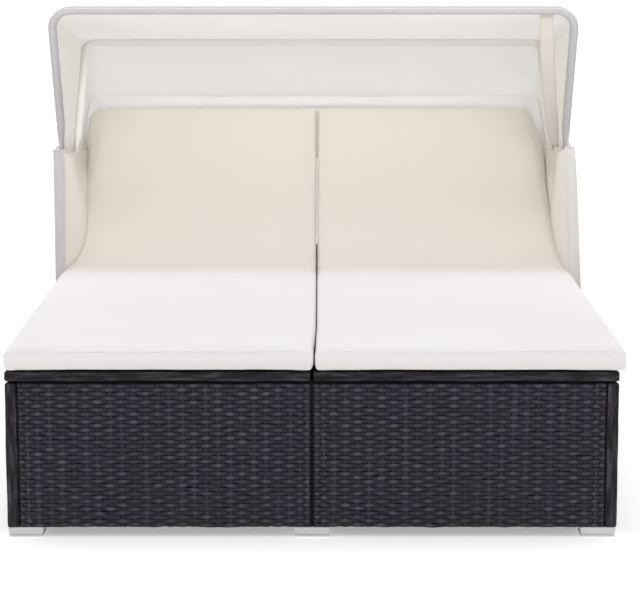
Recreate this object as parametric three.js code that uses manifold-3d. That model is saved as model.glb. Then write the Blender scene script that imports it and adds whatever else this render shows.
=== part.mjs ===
// Outdoor daybed with a folding canopy: a wide woven base on six feet, two
// reclining backrests side by side, and a three-bow hood that folds back.
// Millimetres. +X to the right of someone facing the front, +Y to the rear,
// +Z up. Origin on the floor under the middle of the whole object.
import * as THREE from 'three';
import { mergeVertices, mergeGeometries } from 'three/addons/utils/BufferGeometryUtils.js';
import Module from 'manifold-3d';

// ---------------------------------------------------------------- dimensions
const BASE_HALF_WIDTH = 650;
const BASE_HALF_DEPTH = 1000;
const FOOT_HEIGHT = 20.7;
const FOOT_WIDTH = 75;
const FOOT_DEPTH = 60;
const PANEL_BOTTOM = 21;
const PANEL_TOP = 332.7;
const PANEL_THICKNESS = 8;
const RIM_BOTTOM = 333;
const RIM_TOP = 358;
const BAR = 25; // square tube of the frame, and the width of the rim
const GAP = 0.3; // between pieces that touch
const CENTRE_SEAM = 3; // between the left and right halves of the front

const HINGE_Y = 200; // backrest hinge axis
const HINGE_Z = 337.5;
const REST_ANGLE = 29.3; // backrests as set up
const BACK_LENGTH = 770; // deck, and the cushion but for 2 mm
const BACK_TUBES = 762; // steel frame under it, clear of the rear frame when flat
const BACK_INNER = 20; // |x| of the backrest frame, inner side
const BACK_OUTER = 610;
const BACK_DECK_LOW = 12.8; // above the hinge line, square to the backrest
const BACK_DECK_HIGH = 20.4;
const CUSHION = 50; // thickness
const SEAT_END_Y = 160;

const PROP_LENGTH = 340; // hinge to prop pivot, and prop pivot to foot rod
const PROP_BAR_RADIUS = 5;
const PROP_INNER = 60;
const PROP_OUTER = 570;
const RACK_TIP_Z = HINGE_Z - PROP_BAR_RADIUS - 0.5;
const RACK_THICKNESS = 6;
const RACK_X = [100, 537];
const RACK_ANGLES = [0, 16, 29.3, 38, 45]; // backrest positions

const PIVOT_Y = 440; // canopy pivot
const PIVOT_Z = 500;
const BOW_RADIUS = 667; // pivot to the middle of a bow's top tube
const BOW_TUBE = 8; // tube radius
const BOW_TUBE_START = 280; // distance from the pivot where the tube begins
const ARM_WIDTH = 22;
const ARM_THICKNESS = 3.5;
const BOWS = {
  rear: { angle: 24.2, armIn: 655.0, centre: 656.8, corner: 50 },
  mid: { angle: 43.4, armIn: 659.5, centre: 661.3, corner: 34 },
  front: { angle: 120.0, armIn: 664.0, centre: 665.8, corner: 52 },
};
const BOLT_RADIUS = 5;
const HOLE_RADIUS = 5.1;
const FABRIC = 1.6;
const MIDDLE_Y = 27.2; // middle of the whole object, behind the middle of the base

// ---------------------------------------------------------------- materials
const weave = () => new THREE.MeshStandardMaterial({ color: 0x2b2b33, roughness: 0.55, metalness: 0 });
const rimMat = () => new THREE.MeshStandardMaterial({ color: 0x26252c, roughness: 0.5, metalness: 0 });
const steel = () => new THREE.MeshStandardMaterial({ color: 0x1d1d20, roughness: 0.45, metalness: 0.4 });
const zinc = () => new THREE.MeshStandardMaterial({ color: 0xb4b6ba, roughness: 0.35, metalness: 0.9 });
const footMat = () => new THREE.MeshStandardMaterial({ color: 0xc6c8ca, roughness: 0.5, metalness: 0.1 });
const cushionMat = () => new THREE.MeshStandardMaterial({ color: 0xf6f1e6, roughness: 0.95, metalness: 0 });
const canopyMat = () => new THREE.MeshStandardMaterial({ color: 0xe9e7e2, roughness: 0.9, metalness: 0 });
const bowMat = () => new THREE.MeshStandardMaterial({ color: 0xd9d9d6, roughness: 0.4, metalness: 0.3 });

// ---------------------------------------------------------------- helpers
const wasm = await Module();
wasm.setup();
const rad = THREE.MathUtils.degToRad;

function bare(geometry) {
  const g = geometry.clone();
  for (const name of Object.keys(g.attributes)) if (name !== 'position') g.deleteAttribute(name);
  return mergeVertices(g, 1e-4);
}
function solid(geometry) {
  const g = bare(geometry);
  return new wasm.Manifold(new wasm.Mesh({
    numProp: 3,
    vertProperties: new Float32Array(g.attributes.position.array),
    triVerts: new Uint32Array(g.index.array),
  }));
}
function shaped(manifold) {
  const m = manifold.getMesh();
  const g = new THREE.BufferGeometry();
  g.setAttribute('position', new THREE.BufferAttribute(new Float32Array(m.vertProperties), 3));
  g.setIndex(new THREE.BufferAttribute(new Uint32Array(m.triVerts), 1));
  g.computeVertexNormals();
  return g;
}
const join = (...list) => shaped(list.map(solid).reduce((a, b) => a.add(b)));
const cut = (body, ...tools) => shaped(tools.map(solid).reduce((a, b) => a.subtract(b), solid(body)));

function block(x0, x1, y0, y1, z0, z1) {
  const g = new THREE.BoxGeometry(Math.abs(x1 - x0), Math.abs(y1 - y0), Math.abs(z1 - z0));
  g.translate((x0 + x1) / 2, (y0 + y1) / 2, (z0 + z1) / 2);
  return g;
}
function rod(x0, x1, y, z, r, sides = 16) { // along X
  const g = new THREE.CylinderGeometry(r, r, Math.abs(x1 - x0), sides);
  g.rotateZ(Math.PI / 2);
  g.translate((x0 + x1) / 2, y, z);
  return g;
}
// A path through given points, sampled exactly at them.
class PointPath extends THREE.Curve {
  constructor(points) { super(); this.points = points; }
  getPoint(t, out = new THREE.Vector3()) {
    const n = this.points.length - 1;
    const i = Math.min(Math.floor(t * n + 1e-9), n - 1);
    return out.lerpVectors(this.points[i], this.points[i + 1], t * n - i);
  }
  getPointAt(t, out) { return this.getPoint(t, out); }
  getSpacedPoints(n) { return Array.from({ length: n + 1 }, (_, i) => this.getPoint(i / n)); }
  getTangentAt(t, out = new THREE.Vector3()) {
    const n = this.points.length - 1;
    const i = Math.round(t * n);
    const a = this.points[Math.max(i - 1, 0)];
    const b = this.points[Math.min(i + 1, n)];
    return out.subVectors(b, a).normalize();
  }
}
function tube(points, radius, sides = 12) {
  const section = new THREE.Shape();
  for (let i = 0; i < sides; i++) {
    const a = (i + 0.5) / sides * 2 * Math.PI;
    const x = radius * Math.cos(a), y = radius * Math.sin(a);
    if (i) section.lineTo(x, y); else section.moveTo(x, y);
  }
  section.closePath();
  return new THREE.ExtrudeGeometry(section, {
    steps: points.length - 1, bevelEnabled: false, extrudePath: new PointPath(points),
  });
}
// Rounded corner between two straight runs in the plane of three points.
function arc(cx, cy, r, a0, a1, steps, lift) {
  const out = [];
  for (let i = 0; i <= steps; i++) {
    const a = rad(a0 + (a1 - a0) * i / steps);
    out.push(lift(cx + r * Math.cos(a), cy + r * Math.sin(a)));
  }
  return out;
}
// A block with its edges rounded in the plan of its two long sides.
function pad(x0, x1, y0, y1, z0, z1, r = 12) {
  const s = new THREE.Shape();
  const w = x1 - x0, h = z1 - z0;
  s.moveTo(r, 0); s.lineTo(w - r, 0); s.absarc(w - r, r, r, -Math.PI / 2, 0, false);
  s.lineTo(w, h - r); s.absarc(w - r, h - r, r, 0, Math.PI / 2, false);
  s.lineTo(r, h); s.absarc(r, h - r, r, Math.PI / 2, Math.PI, false);
  s.lineTo(0, r); s.absarc(r, r, r, Math.PI, 1.5 * Math.PI, false);
  const g = new THREE.ExtrudeGeometry(s, { depth: y1 - y0, bevelEnabled: false, curveSegments: 3 });
  g.rotateX(Math.PI / 2); // section (x, z), run along -Y
  g.translate(x0, y1, z0);
  return g;
}
// Thin closed shell: a grid of points and the same grid set off along normals.
function shell(rows, thickness) {
  const nu = rows.length, nv = rows[0].length;
  const at = (i, j) => rows[i][j];
  const normal = (i, j) => {
    const du = new THREE.Vector3().subVectors(at(Math.min(i + 1, nu - 1), j), at(Math.max(i - 1, 0), j));
    const dv = new THREE.Vector3().subVectors(at(i, Math.min(j + 1, nv - 1)), at(i, Math.max(j - 1, 0)));
    return du.cross(dv).normalize();
  };
  const pos = [];
  for (const side of [0, 1]) for (let i = 0; i < nu; i++) for (let j = 0; j < nv; j++) {
    const p = at(i, j).clone().addScaledVector(normal(i, j), side * thickness);
    pos.push(p.x, p.y, p.z);
  }
  const id = (s, i, j) => s * nu * nv + i * nv + j;
  const idx = [];
  const quad = (a, b, c, d) => idx.push(a, b, c, a, c, d);
  for (let i = 0; i < nu - 1; i++) for (let j = 0; j < nv - 1; j++) {
    quad(id(1, i, j), id(1, i + 1, j), id(1, i + 1, j + 1), id(1, i, j + 1));
    quad(id(0, i, j), id(0, i, j + 1), id(0, i + 1, j + 1), id(0, i + 1, j));
  }
  for (let j = 0; j < nv - 1; j++) {
    quad(id(0, 0, j), id(1, 0, j), id(1, 0, j + 1), id(0, 0, j + 1));
    quad(id(0, nu - 1, j + 1), id(1, nu - 1, j + 1), id(1, nu - 1, j), id(0, nu - 1, j));
  }
  for (let i = 0; i < nu - 1; i++) {
    quad(id(0, i + 1, 0), id(1, i + 1, 0), id(1, i, 0), id(0, i, 0));
    quad(id(0, i, nv - 1), id(1, i, nv - 1), id(1, i + 1, nv - 1), id(0, i + 1, nv - 1));
  }
  const g = new THREE.BufferGeometry();
  g.setAttribute('position', new THREE.Float32BufferAttribute(pos, 3));
  g.setIndex(idx);
  g.computeVertexNormals();
  return g;
}
const daybed = new THREE.Group();
const add = (parent, name, geometry, material) => {
  const mesh = new THREE.Mesh(geometry, material);
  mesh.name = name;
  parent.add(mesh);
  return mesh;
};
const sides = [['left', -1], ['right', 1]];
const W = BASE_HALF_WIDTH, D = BASE_HALF_DEPTH;

// ---------------------------------------------------------------- feet
for (const [end, ys] of [['front', -1], ['rear', 1]]) {
  const y0 = ys > 0 ? D - 1 - FOOT_DEPTH : -D + 1;
  for (const [place, x] of [['left', -W + 2 + FOOT_WIDTH / 2], ['center', 0], ['right', W - 2 - FOOT_WIDTH / 2]]) {
    add(daybed, `foot_${end}_${place}`,
      block(x - FOOT_WIDTH / 2, x + FOOT_WIDTH / 2, y0, y0 + FOOT_DEPTH, 0, FOOT_HEIGHT), footMat());
  }
}

// ---------------------------------------------------------------- base frame
const P = PANEL_THICKNESS + 1; // skin and the gap behind it
const inX = W - BAR - 0.5; // between the corner posts
const inY = D - BAR - 0.5;
const railLow = [PANEL_BOTTOM + 4, PANEL_BOTTOM + 4 + BAR];
const railHigh = [PANEL_TOP - BAR, PANEL_TOP];
for (const [name, s] of [['front_frame', -1], ['rear_frame', 1]]) {
  const y0 = s * (D - P - 0.3), y1 = s * (D - P - 0.3 - BAR);
  const body = block(-inX, inX, y0, y1, railLow[0], railHigh[1]);
  const yy = [s * (D + 5), s * (D - 60)];
  add(daybed, name, cut(body,
    block(-inX + BAR, -BAR / 2, yy[0], yy[1], railLow[1], railHigh[0]),
    block(BAR / 2, inX - BAR, yy[0], yy[1], railLow[1], railHigh[0])), steel());
}
const frameInnerY = D - P - 0.3 - BAR - GAP; // free length between front and rear frame
for (const [side, s] of sides) {
  const x0 = s * (W - P), x1 = s * (W - P - BAR);
  const body = block(x0, x1, -frameInnerY, frameInnerY, railLow[0], railHigh[1]);
  add(daybed, `side_frame_${side}`, cut(body,
    block(s * (W + 5), s * (W - 60), -frameInnerY + BAR, -BAR / 2, railLow[1], railHigh[0]),
    block(s * (W + 5), s * (W - 60), BAR / 2, frameInnerY - BAR, railLow[1], railHigh[0])), steel());
}
const sideInnerX = W - P - BAR - GAP;
add(daybed, 'center_beam', block(-BAR / 2, BAR / 2, -frameInnerY, frameInnerY, 262.2, 262.2 + BAR), steel());
// Cross beam with four upright ears for the hinge pins.
const EARS = [[8, 14], [574, 580]]; // |x| of the faces of the inner and outer ear
{
  const list = [block(-sideInnerX, sideInnerX, HINGE_Y - BAR / 2, HINGE_Y + BAR / 2, 287.5, 287.5 + BAR)];
  for (const s of [-1, 1]) for (const [a, b] of EARS) {
    list.push(block(s * a, s * b, HINGE_Y - 10, HINGE_Y + 10, 300, HINGE_Z));
    list.push(rod(s * a, s * b, HINGE_Y, HINGE_Z, 10, 20));
  }
  const beam = list.map(solid).reduce((a, b) => a.add(b));
  const holes = [];
  for (const s of [-1, 1]) for (const [a, b] of EARS) holes.push(rod(s * (a - 2), s * (b + 2), HINGE_Y, HINGE_Z, HOLE_RADIUS, 20));
  add(daybed, 'hinge_beam', shaped(holes.map(solid).reduce((a, b) => a.subtract(b), beam)), steel());
}

// ---------------------------------------------------------------- woven skin
const halfSeam = CENTRE_SEAM / 2;
for (const [side, s] of sides) {
  add(daybed, `front_panel_${side}`,
    block(s * halfSeam, s * inX, -D + 1, -D + 1 + PANEL_THICKNESS, PANEL_BOTTOM, PANEL_TOP), weave());
  add(daybed, `rear_panel_${side}`,
    block(s * halfSeam, s * inX, D - 1, D - 1 - PANEL_THICKNESS, PANEL_BOTTOM, PANEL_TOP), weave());
  add(daybed, `side_panel_${side}`,
    block(s * (W - 0.3), s * (W - 0.3 - PANEL_THICKNESS), -inY, inY, PANEL_BOTTOM, PANEL_TOP), weave());
  add(daybed, `front_rim_${side}`,
    block(s * halfSeam, s * W, -D, -D + BAR, RIM_BOTTOM, RIM_TOP), rimMat());
  add(daybed, `side_rim_${side}`,
    block(s * W, s * (W - BAR), -D + BAR + GAP, D - BAR - GAP, RIM_BOTTOM, RIM_TOP), rimMat());
  for (const [end, e] of [['front', -1], ['rear', 1]]) {
    add(daybed, `corner_post_${end}_${side}`,
      block(s * W, s * (W - BAR), e * D, e * (D - BAR), PANEL_BOTTOM, PANEL_TOP), rimMat());
  }
}
add(daybed, 'rear_rim', block(-W, W, D - BAR, D, RIM_BOTTOM, RIM_TOP), rimMat());

// ---------------------------------------------------------------- seat
for (const [side, s] of sides) {
  add(daybed, `seat_deck_${side}`,
    block(s * 2, s * (W - BAR - 0.5), -D + BAR + 0.5, HINGE_Y - 20, RIM_BOTTOM, RIM_TOP - 0.4), weave());
  const outer = side === 'right' ? 660 : 649;
  const inner = side === 'right' ? 5 : 2;
  add(daybed, `seat_cushion_${side}`,
    pad(Math.min(s * inner, s * outer), Math.max(s * inner, s * outer), -D - 4, SEAT_END_Y, RIM_TOP + 0.3, RIM_TOP + 0.3 + CUSHION), cushionMat());
  // Toothed rails that the prop's foot rod rests on.
  for (const [i, which] of [[0, 'inner'], [1, 'outer']]) {
    const x0 = s * (RACK_X[i] - RACK_THICKNESS / 2), x1 = s * (RACK_X[i] + RACK_THICKNESS / 2);
    const rail = join(
      block(x0, x1, HINGE_Y + BAR / 2 + GAP, frameInnerY, 288, 312),
      block(x0, x1, HINGE_Y + 400, HINGE_Y + 2 * PROP_LENGTH + 22, 300, RACK_TIP_Z));
    const notches = RACK_ANGLES.map((a) =>
      rod(x0 - s * 3, x1 + s * 3, HINGE_Y + 2 * PROP_LENGTH * Math.cos(rad(a)), HINGE_Z - 0.6, PROP_BAR_RADIUS + 3, 14));
    add(daybed, `rack_rail_${side}_${which}`, cut(rail, ...notches), zinc());
  }
}

// ---------------------------------------------------------------- backrests
for (const [side, s] of sides) {
  const back = new THREE.Group(); // local: hinge line at the origin, +Y up the backrest
  back.position.set(0, HINGE_Y, HINGE_Z);
  back.rotation.x = rad(REST_ANGLE);
  daybed.add(back);
  const h = BAR / 2;
  const body = [
    block(s * BACK_INNER, s * (BACK_INNER + BAR), 0, BACK_TUBES, -h, h),
    block(s * (BACK_OUTER - BAR), s * BACK_OUTER, 0, BACK_TUBES, -h, h),
    rod(s * BACK_INNER, s * (BACK_INNER + BAR), 0, 0, h, 24),
    rod(s * (BACK_OUTER - BAR), s * BACK_OUTER, 0, 0, h, 24),
    block(s * BACK_INNER, s * BACK_OUTER, 40, 40 + BAR, -h, h),
    block(s * BACK_INNER, s * BACK_OUTER, BACK_TUBES - BAR, BACK_TUBES, -h, h),
  ].map(solid).reduce((a, b) => a.add(b));
  const holes = [
    rod(s * (BACK_INNER - 3), s * (BACK_INNER + BAR + 3), 0, 0, HOLE_RADIUS, 20),
    rod(s * (BACK_OUTER - BAR - 3), s * (BACK_OUTER + 3), 0, 0, HOLE_RADIUS, 20),
    rod(s * (BACK_INNER + 5), s * (BACK_INNER + BAR + 3), PROP_LENGTH, 0, HOLE_RADIUS + 0.2, 20),
    rod(s * (BACK_OUTER - BAR - 3), s * (BACK_OUTER - 5), PROP_LENGTH, 0, HOLE_RADIUS + 0.2, 20),
  ].map(solid);
  add(back, `back_frame_${side}`, shaped(holes.reduce((a, b) => a.subtract(b), body)), steel());
  add(back, `back_deck_${side}`,
    block(s * (BACK_INNER - 2), s * (BACK_OUTER + 2), 16, BACK_LENGTH, BACK_DECK_LOW, BACK_DECK_HIGH), weave());
  // Cushion with its lower end cut on a slant, so that it clears the seat.
  const slab = pad(Math.min(s * 6, s * 630), Math.max(s * 6, s * 630), 4, BACK_LENGTH + 2, BACK_DECK_HIGH + 0.4, BACK_DECK_HIGH + 0.4 + CUSHION);
  const slant = new THREE.Shape();
  slant.moveTo(-60, 0); slant.lineTo(5, 0); slant.lineTo(62, 75); slant.lineTo(-60, 75); slant.closePath();
  const wedge = new THREE.ExtrudeGeometry(slant, { depth: 720, bevelEnabled: false });
  // section (y, z) run along X
  wedge.applyMatrix4(new THREE.Matrix4().makeBasis(
    new THREE.Vector3(0, 1, 0), new THREE.Vector3(0, 0, 1), new THREE.Vector3(1, 0, 0)));
  wedge.translate(s > 0 ? -40 : -680, 0, BACK_DECK_HIGH - 5);
  add(back, `back_cushion_${side}`, cut(slab, wedge), cushionMat());

  // Hinge pins, one through each ear and side tube.
  const pin = (a, b, head) => join(
    rod(s * a, s * b, 0, 0, BOLT_RADIUS, 16), rod(s * head[0], s * head[1], 0, 0, 8.5, 16));
  const pins = new THREE.Group();
  pins.position.set(0, HINGE_Y, HINGE_Z);
  daybed.add(pins);
  add(pins, `hinge_pin_${side}_inner`, pin(6, BACK_INNER + BAR + 6, [BACK_INNER + BAR + 1, BACK_INNER + BAR + 6]), zinc());
  add(pins, `hinge_pin_${side}_outer`, pin(571, BACK_OUTER + 5, [BACK_OUTER + 1, BACK_OUTER + 5]), zinc());

  // Prop: one bent rod, its ends turned outward into the side tubes.
  const prop = new THREE.Group();
  prop.position.set(0, HINGE_Y + PROP_LENGTH * Math.cos(rad(REST_ANGLE)), HINGE_Z + PROP_LENGTH * Math.sin(rad(REST_ANGLE)));
  prop.rotation.x = -rad(REST_ANGLE);
  daybed.add(prop);
  const bend = 12;
  const L = PROP_LENGTH;
  const flat = (x, y) => new THREE.Vector3(s * x, y, 0);
  const path = [
    flat(BACK_INNER + BAR - 14, 0), flat(PROP_INNER - bend, 0),
    ...arc(PROP_INNER - bend, bend, bend, -90, 0, 4, flat).slice(1),
    ...arc(PROP_INNER + bend, L - bend, bend, 180, 90, 4, flat),
    ...arc(PROP_OUTER - bend, L - bend, bend, 90, 0, 4, flat),
    ...arc(PROP_OUTER + bend, bend, bend, 180, 270, 4, flat),
    flat(BACK_OUTER - BAR + 14, 0),
  ];
  add(prop, `prop_bar_${side}`, tube(path, PROP_BAR_RADIUS, 10), zinc());
}

// ---------------------------------------------------------------- canopy
for (const [side, s] of sides) {
  const plate = join(
    block(s * (W + GAP), s * (W + GAP + 4), PIVOT_Y - 20, PIVOT_Y + 20, 240, PIVOT_Z),
    rod(s * (W + GAP), s * (W + GAP + 4), PIVOT_Y, PIVOT_Z, 20, 24));
  add(daybed, `canopy_bracket_${side}`, cut(plate, rod(s * (W - 5), s * (W + 12), PIVOT_Y, PIVOT_Z, HOLE_RADIUS, 20)), steel());
  add(daybed, `canopy_bolt_${side}`, join(
    rod(s * 643.5, s * 673.5, PIVOT_Y, PIVOT_Z, BOLT_RADIUS, 16),
    rod(s * 643.5, s * 649.8, PIVOT_Y, PIVOT_Z, 8.5, 6),
    rod(s * 668.2, s * 673.5, PIVOT_Y, PIVOT_Z, 9, 16)), zinc());
}
for (const [name, bow] of Object.entries(BOWS)) {
  const group = new THREE.Group(); // local: pivot at the origin, +Y out along the bow
  group.position.set(0, PIVOT_Y, PIVOT_Z);
  group.rotation.x = rad(bow.angle);
  daybed.add(group);
  const c = bow.centre, R = BOW_RADIUS, r = bow.corner;
  const flat = (x, y) => new THREE.Vector3(x, y, 0);
  const path = [
    flat(-c, BOW_TUBE_START),
    ...arc(-c + r, R - r, r, 180, 90, 6, flat),
    ...arc(c - r, R - r, r, 90, 0, 6, flat),
    flat(c, BOW_TUBE_START),
  ];
  let body = solid(tube(path, BOW_TUBE, 12));
  for (const s of [-1, 1]) {
    const a = s * bow.armIn, b = s * (bow.armIn + ARM_THICKNESS);
    body = body.add(solid(block(a, b, 0, BOW_TUBE_START + 12, -ARM_WIDTH / 2, ARM_WIDTH / 2)))
      .add(solid(rod(a, b, 0, 0, ARM_WIDTH / 2, 24)));
  }
  for (const s of [-1, 1]) body = body.subtract(solid(rod(s * 645, s * 680, 0, 0, HOLE_RADIUS, 20)));
  add(group, `${name}_bow`, shaped(body), bowMat());
}
// Hood fabric between two bows: a hoop drawn at every angle, flat from bow to
// bow, just outside the tubes. Its corners go from one bow's to the other's.
function hood(from, to, steps, low, half, top) {
  const mid = (from.angle + to.angle) / 2, spread = Math.abs(from.angle - to.angle) / 2;
  const hoop = (r) => {
    const profile = [[-half, low], [-half, (low + top) / 2]];
    for (let i = 0; i <= 6; i++) { const a = rad(180 - 15 * i); profile.push([-half + r + r * Math.cos(a), top - r + r * Math.sin(a)]); }
    for (let i = 0; i <= 6; i++) { const a = rad(90 - 15 * i); profile.push([half - r + r * Math.cos(a), top - r + r * Math.sin(a)]); }
    profile.push([half, (low + top) / 2], [half, low]);
    return profile;
  };
  const rows = [];
  for (let i = 0; i <= steps; i++) {
    const a = from.angle + (to.angle - from.angle) * i / steps;
    const k = Math.cos(rad(spread)) / Math.cos(rad(a - mid));
    const r = from.corner + (to.corner - from.corner) * i / steps + BOW_TUBE + 1;
    rows.push(hoop(r).map(([x, y]) => new THREE.Vector3(
      x, PIVOT_Y + k * y * Math.cos(rad(a)), PIVOT_Z + k * y * Math.sin(rad(a)))));
  }
  return rows;
}
const half = BOWS.front.centre + BOW_TUBE + 1.4;
add(daybed, 'canopy_front_section',
  shell(hood({ ...BOWS.mid, angle: BOWS.mid.angle + 0.6 }, BOWS.front, 6, 160, half, BOW_RADIUS + 11.5), FABRIC), canopyMat());
add(daybed, 'canopy_rear_section',
  shell(hood(BOWS.rear, { ...BOWS.mid, angle: BOWS.mid.angle - 0.6 }, 3, 160, half, BOW_RADIUS + 9.6), FABRIC), canopyMat());
// Lower side skirts: a fabric boot around the bow ends, open at the top, the
// bottom and the rear. Its outer wall hangs down past the rim.
const SKIRT = { outer: 680, inner: 642, front: 130, rear: 700, top: 720, hem: 300, innerHem: 410, cloth: 2.2 };
for (const [side, s] of sides) {
  const k = SKIRT, t = k.cloth;
  const body = solid(block(s * (k.inner - t), s * (k.outer + t), k.front - t, k.rear, k.innerHem, k.top))
    .subtract(solid(block(s * k.inner, s * k.outer, k.front, k.rear + 10, k.innerHem - 5, k.top + 5)))
    .add(solid(block(s * k.outer, s * (k.outer + t), k.front - t, k.rear, k.hem, k.innerHem + 5)));
  add(daybed, `lower_skirt_${side}`, shaped(body), canopyMat());
}

daybed.position.y = -MIDDLE_Y;
daybed.updateMatrixWorld(true);
export default daybed;
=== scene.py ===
import bpy, bmesh, math
import numpy as np
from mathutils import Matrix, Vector, noise
from mathutils.bvhtree import BVHTree
from mathutils.kdtree import KDTree


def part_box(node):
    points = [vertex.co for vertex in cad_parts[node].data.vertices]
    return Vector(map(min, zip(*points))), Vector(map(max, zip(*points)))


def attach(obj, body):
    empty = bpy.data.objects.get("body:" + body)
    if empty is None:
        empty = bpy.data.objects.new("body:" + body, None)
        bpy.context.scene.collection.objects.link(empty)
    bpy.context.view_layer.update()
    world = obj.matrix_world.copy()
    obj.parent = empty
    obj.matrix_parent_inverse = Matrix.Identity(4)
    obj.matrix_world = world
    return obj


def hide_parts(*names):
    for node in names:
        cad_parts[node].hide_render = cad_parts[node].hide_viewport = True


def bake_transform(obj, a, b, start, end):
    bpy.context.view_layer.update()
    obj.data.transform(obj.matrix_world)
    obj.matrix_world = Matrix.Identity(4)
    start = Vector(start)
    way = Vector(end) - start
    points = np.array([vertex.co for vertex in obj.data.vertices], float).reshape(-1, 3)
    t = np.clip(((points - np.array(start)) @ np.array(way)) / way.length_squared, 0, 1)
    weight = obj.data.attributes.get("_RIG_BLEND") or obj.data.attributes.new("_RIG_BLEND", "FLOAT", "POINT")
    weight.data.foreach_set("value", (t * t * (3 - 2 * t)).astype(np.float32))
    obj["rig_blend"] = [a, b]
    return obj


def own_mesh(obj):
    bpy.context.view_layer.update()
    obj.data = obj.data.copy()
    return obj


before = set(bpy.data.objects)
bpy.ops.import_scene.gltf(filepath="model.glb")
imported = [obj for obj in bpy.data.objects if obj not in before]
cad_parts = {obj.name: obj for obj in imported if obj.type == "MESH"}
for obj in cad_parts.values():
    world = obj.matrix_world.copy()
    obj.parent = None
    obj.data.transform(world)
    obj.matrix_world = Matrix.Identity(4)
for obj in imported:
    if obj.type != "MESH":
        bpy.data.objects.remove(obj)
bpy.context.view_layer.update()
scene = bpy.context.scene
rng = np.random.default_rng(7)
SKY, FLOOR_GLOW, TOP_POWER, GRID_POWER = 0.757, 0.36, 62, 7.6

# ------------------------------------------------------------------ geometry of the object, in metres
SHIFT = -0.0272
HINGE = (0.200 + SHIFT, 0.3375)
REST = math.radians(29.3)
PIV = (0.440 + SHIFT, 0.500)
BOW_R = 0.667
CORNER = {"rear": 0.050, "mid": 0.034, "front": 0.052}
ANG = {"rear": math.radians(24.2), "mid": math.radians(43.4), "front": math.radians(120.0)}
CENTRE = {"rear": 0.6568, "mid": 0.6613, "front": 0.6658}
RIM_TOP = 0.358

# ------------------------------------------------------------------ camera
cam_data = bpy.data.cameras.new("camera")
cam = bpy.data.objects.new("camera", cam_data)
scene.collection.objects.link(cam)
cam.location = (0.0172, -4.7123 - 1.0 + SHIFT, 1.2774)
cam.rotation_euler = (math.radians(90 - 9.148), 0, 0)
cam_data.sensor_width = 36
cam_data.lens = 2275.0 / 640 * 36
cam_data.clip_end = 100
scene.camera = cam

# ------------------------------------------------------------------ helpers
def mesh_object(name, verts, faces, mat=None, smooth=True):
    me = bpy.data.meshes.new(name)
    me.from_pydata([tuple(v) for v in verts], [], [tuple(f) for f in faces])
    me.validate()
    me.update()
    if smooth:
        me.polygons.foreach_set("use_smooth", [True] * len(me.polygons))
    ob = bpy.data.objects.new(name, me)
    scene.collection.objects.link(ob)
    if mat:
        me.materials.append(mat)
    return ob

def grid_faces(nu, nv, wrap_v=False, offset=0, flip=False):
    faces = []
    for i in range(nu - 1):
        for j in range(nv if wrap_v else nv - 1):
            k = (j + 1) % nv
            f = (offset + i * nv + j, offset + (i + 1) * nv + j, offset + (i + 1) * nv + k, offset + i * nv + k)
            faces.append(f[::-1] if flip else f)
    return faces

def fix_normals(ob):
    bm = bmesh.new()
    bm.from_mesh(ob.data)
    bmesh.ops.recalc_face_normals(bm, faces=bm.faces)
    bm.to_mesh(ob.data)
    bm.free()
    ob.data.update()

def frames_along(points):
    """Tangents and two side directions carried along a path."""
    p = np.asarray(points, float)
    t = np.gradient(p, axis=0)
    t /= np.linalg.norm(t, axis=1)[:, None]
    n = np.cross(t[0], [0, 0, 1.0])
    if np.linalg.norm(n) < 1e-3:
        n = np.cross(t[0], [0, 1.0, 0])
    n /= np.linalg.norm(n)
    ns = [n]
    for i in range(1, len(p)):
        v = ns[-1] - t[i] * np.dot(ns[-1], t[i])
        ns.append(v / np.linalg.norm(v))
    ns = np.array(ns)
    return p, t, ns, np.cross(t, ns)

def sweep(name, points, section, mat, caps=True, smooth=True):
    """section(i, s) -> list of (a, b) offsets along the two side directions."""
    p, t, n, b = frames_along(points)
    L = len(p)
    verts, m = [], None
    for i in range(L):
        sec = section(i, i / (L - 1))
        m = len(sec)
        for (u, w) in sec:
            verts.append(p[i] + n[i] * u + b[i] * w)
    faces = grid_faces(L, m, wrap_v=True)
    if caps:
        faces.append(tuple(range(m)))
        faces.append(tuple((L - 1) * m + k for k in range(m))[::-1])
    ob = mesh_object(name, verts, faces, mat, smooth)
    fix_normals(ob)
    return ob

def circle(r, k=12, squash=1.0):
    return [(r * math.cos(2 * math.pi * j / k), squash * r * math.sin(2 * math.pi * j / k)) for j in range(k)]

def nz(x, y, z, seed=0.0):
    return noise.noise(Vector((x + seed * 17.13, y - seed * 5.7, z + seed * 3.1)))

def apply_modifiers(ob):
    dg = bpy.context.evaluated_depsgraph_get()
    dg.update()
    me = bpy.data.meshes.new_from_object(ob.evaluated_get(dg), depsgraph=dg)
    ob.modifiers.clear()
    ob.data = me
    return ob

# ------------------------------------------------------------------ materials
def new_mat(name):
    m = bpy.data.materials.new(name)
    m.use_nodes = True
    nt = m.node_tree
    nt.nodes.clear()
    out = nt.nodes.new("ShaderNodeOutputMaterial")
    bsdf = nt.nodes.new("ShaderNodeBsdfPrincipled")
    nt.links.new(bsdf.outputs["BSDF"], out.inputs["Surface"])
    return m, nt, bsdf

def node(nt, kind, **props):
    n = nt.nodes.new(kind)
    for k, v in props.items():
        if k.startswith("in_"):
            n.inputs[k[3:].replace("_", " ")].default_value = v
        else:
            setattr(n, k, v)
    return n

def coords(nt, scale=(1, 1, 1), rot=(0, 0, 0)):
    tc = nt.nodes.new("ShaderNodeTexCoord")
    mp = nt.nodes.new("ShaderNodeMapping")
    mp.inputs["Scale"].default_value = scale
    mp.inputs["Rotation"].default_value = rot
    nt.links.new(tc.outputs["Object"], mp.inputs["Vector"])
    return mp.outputs["Vector"]

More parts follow.
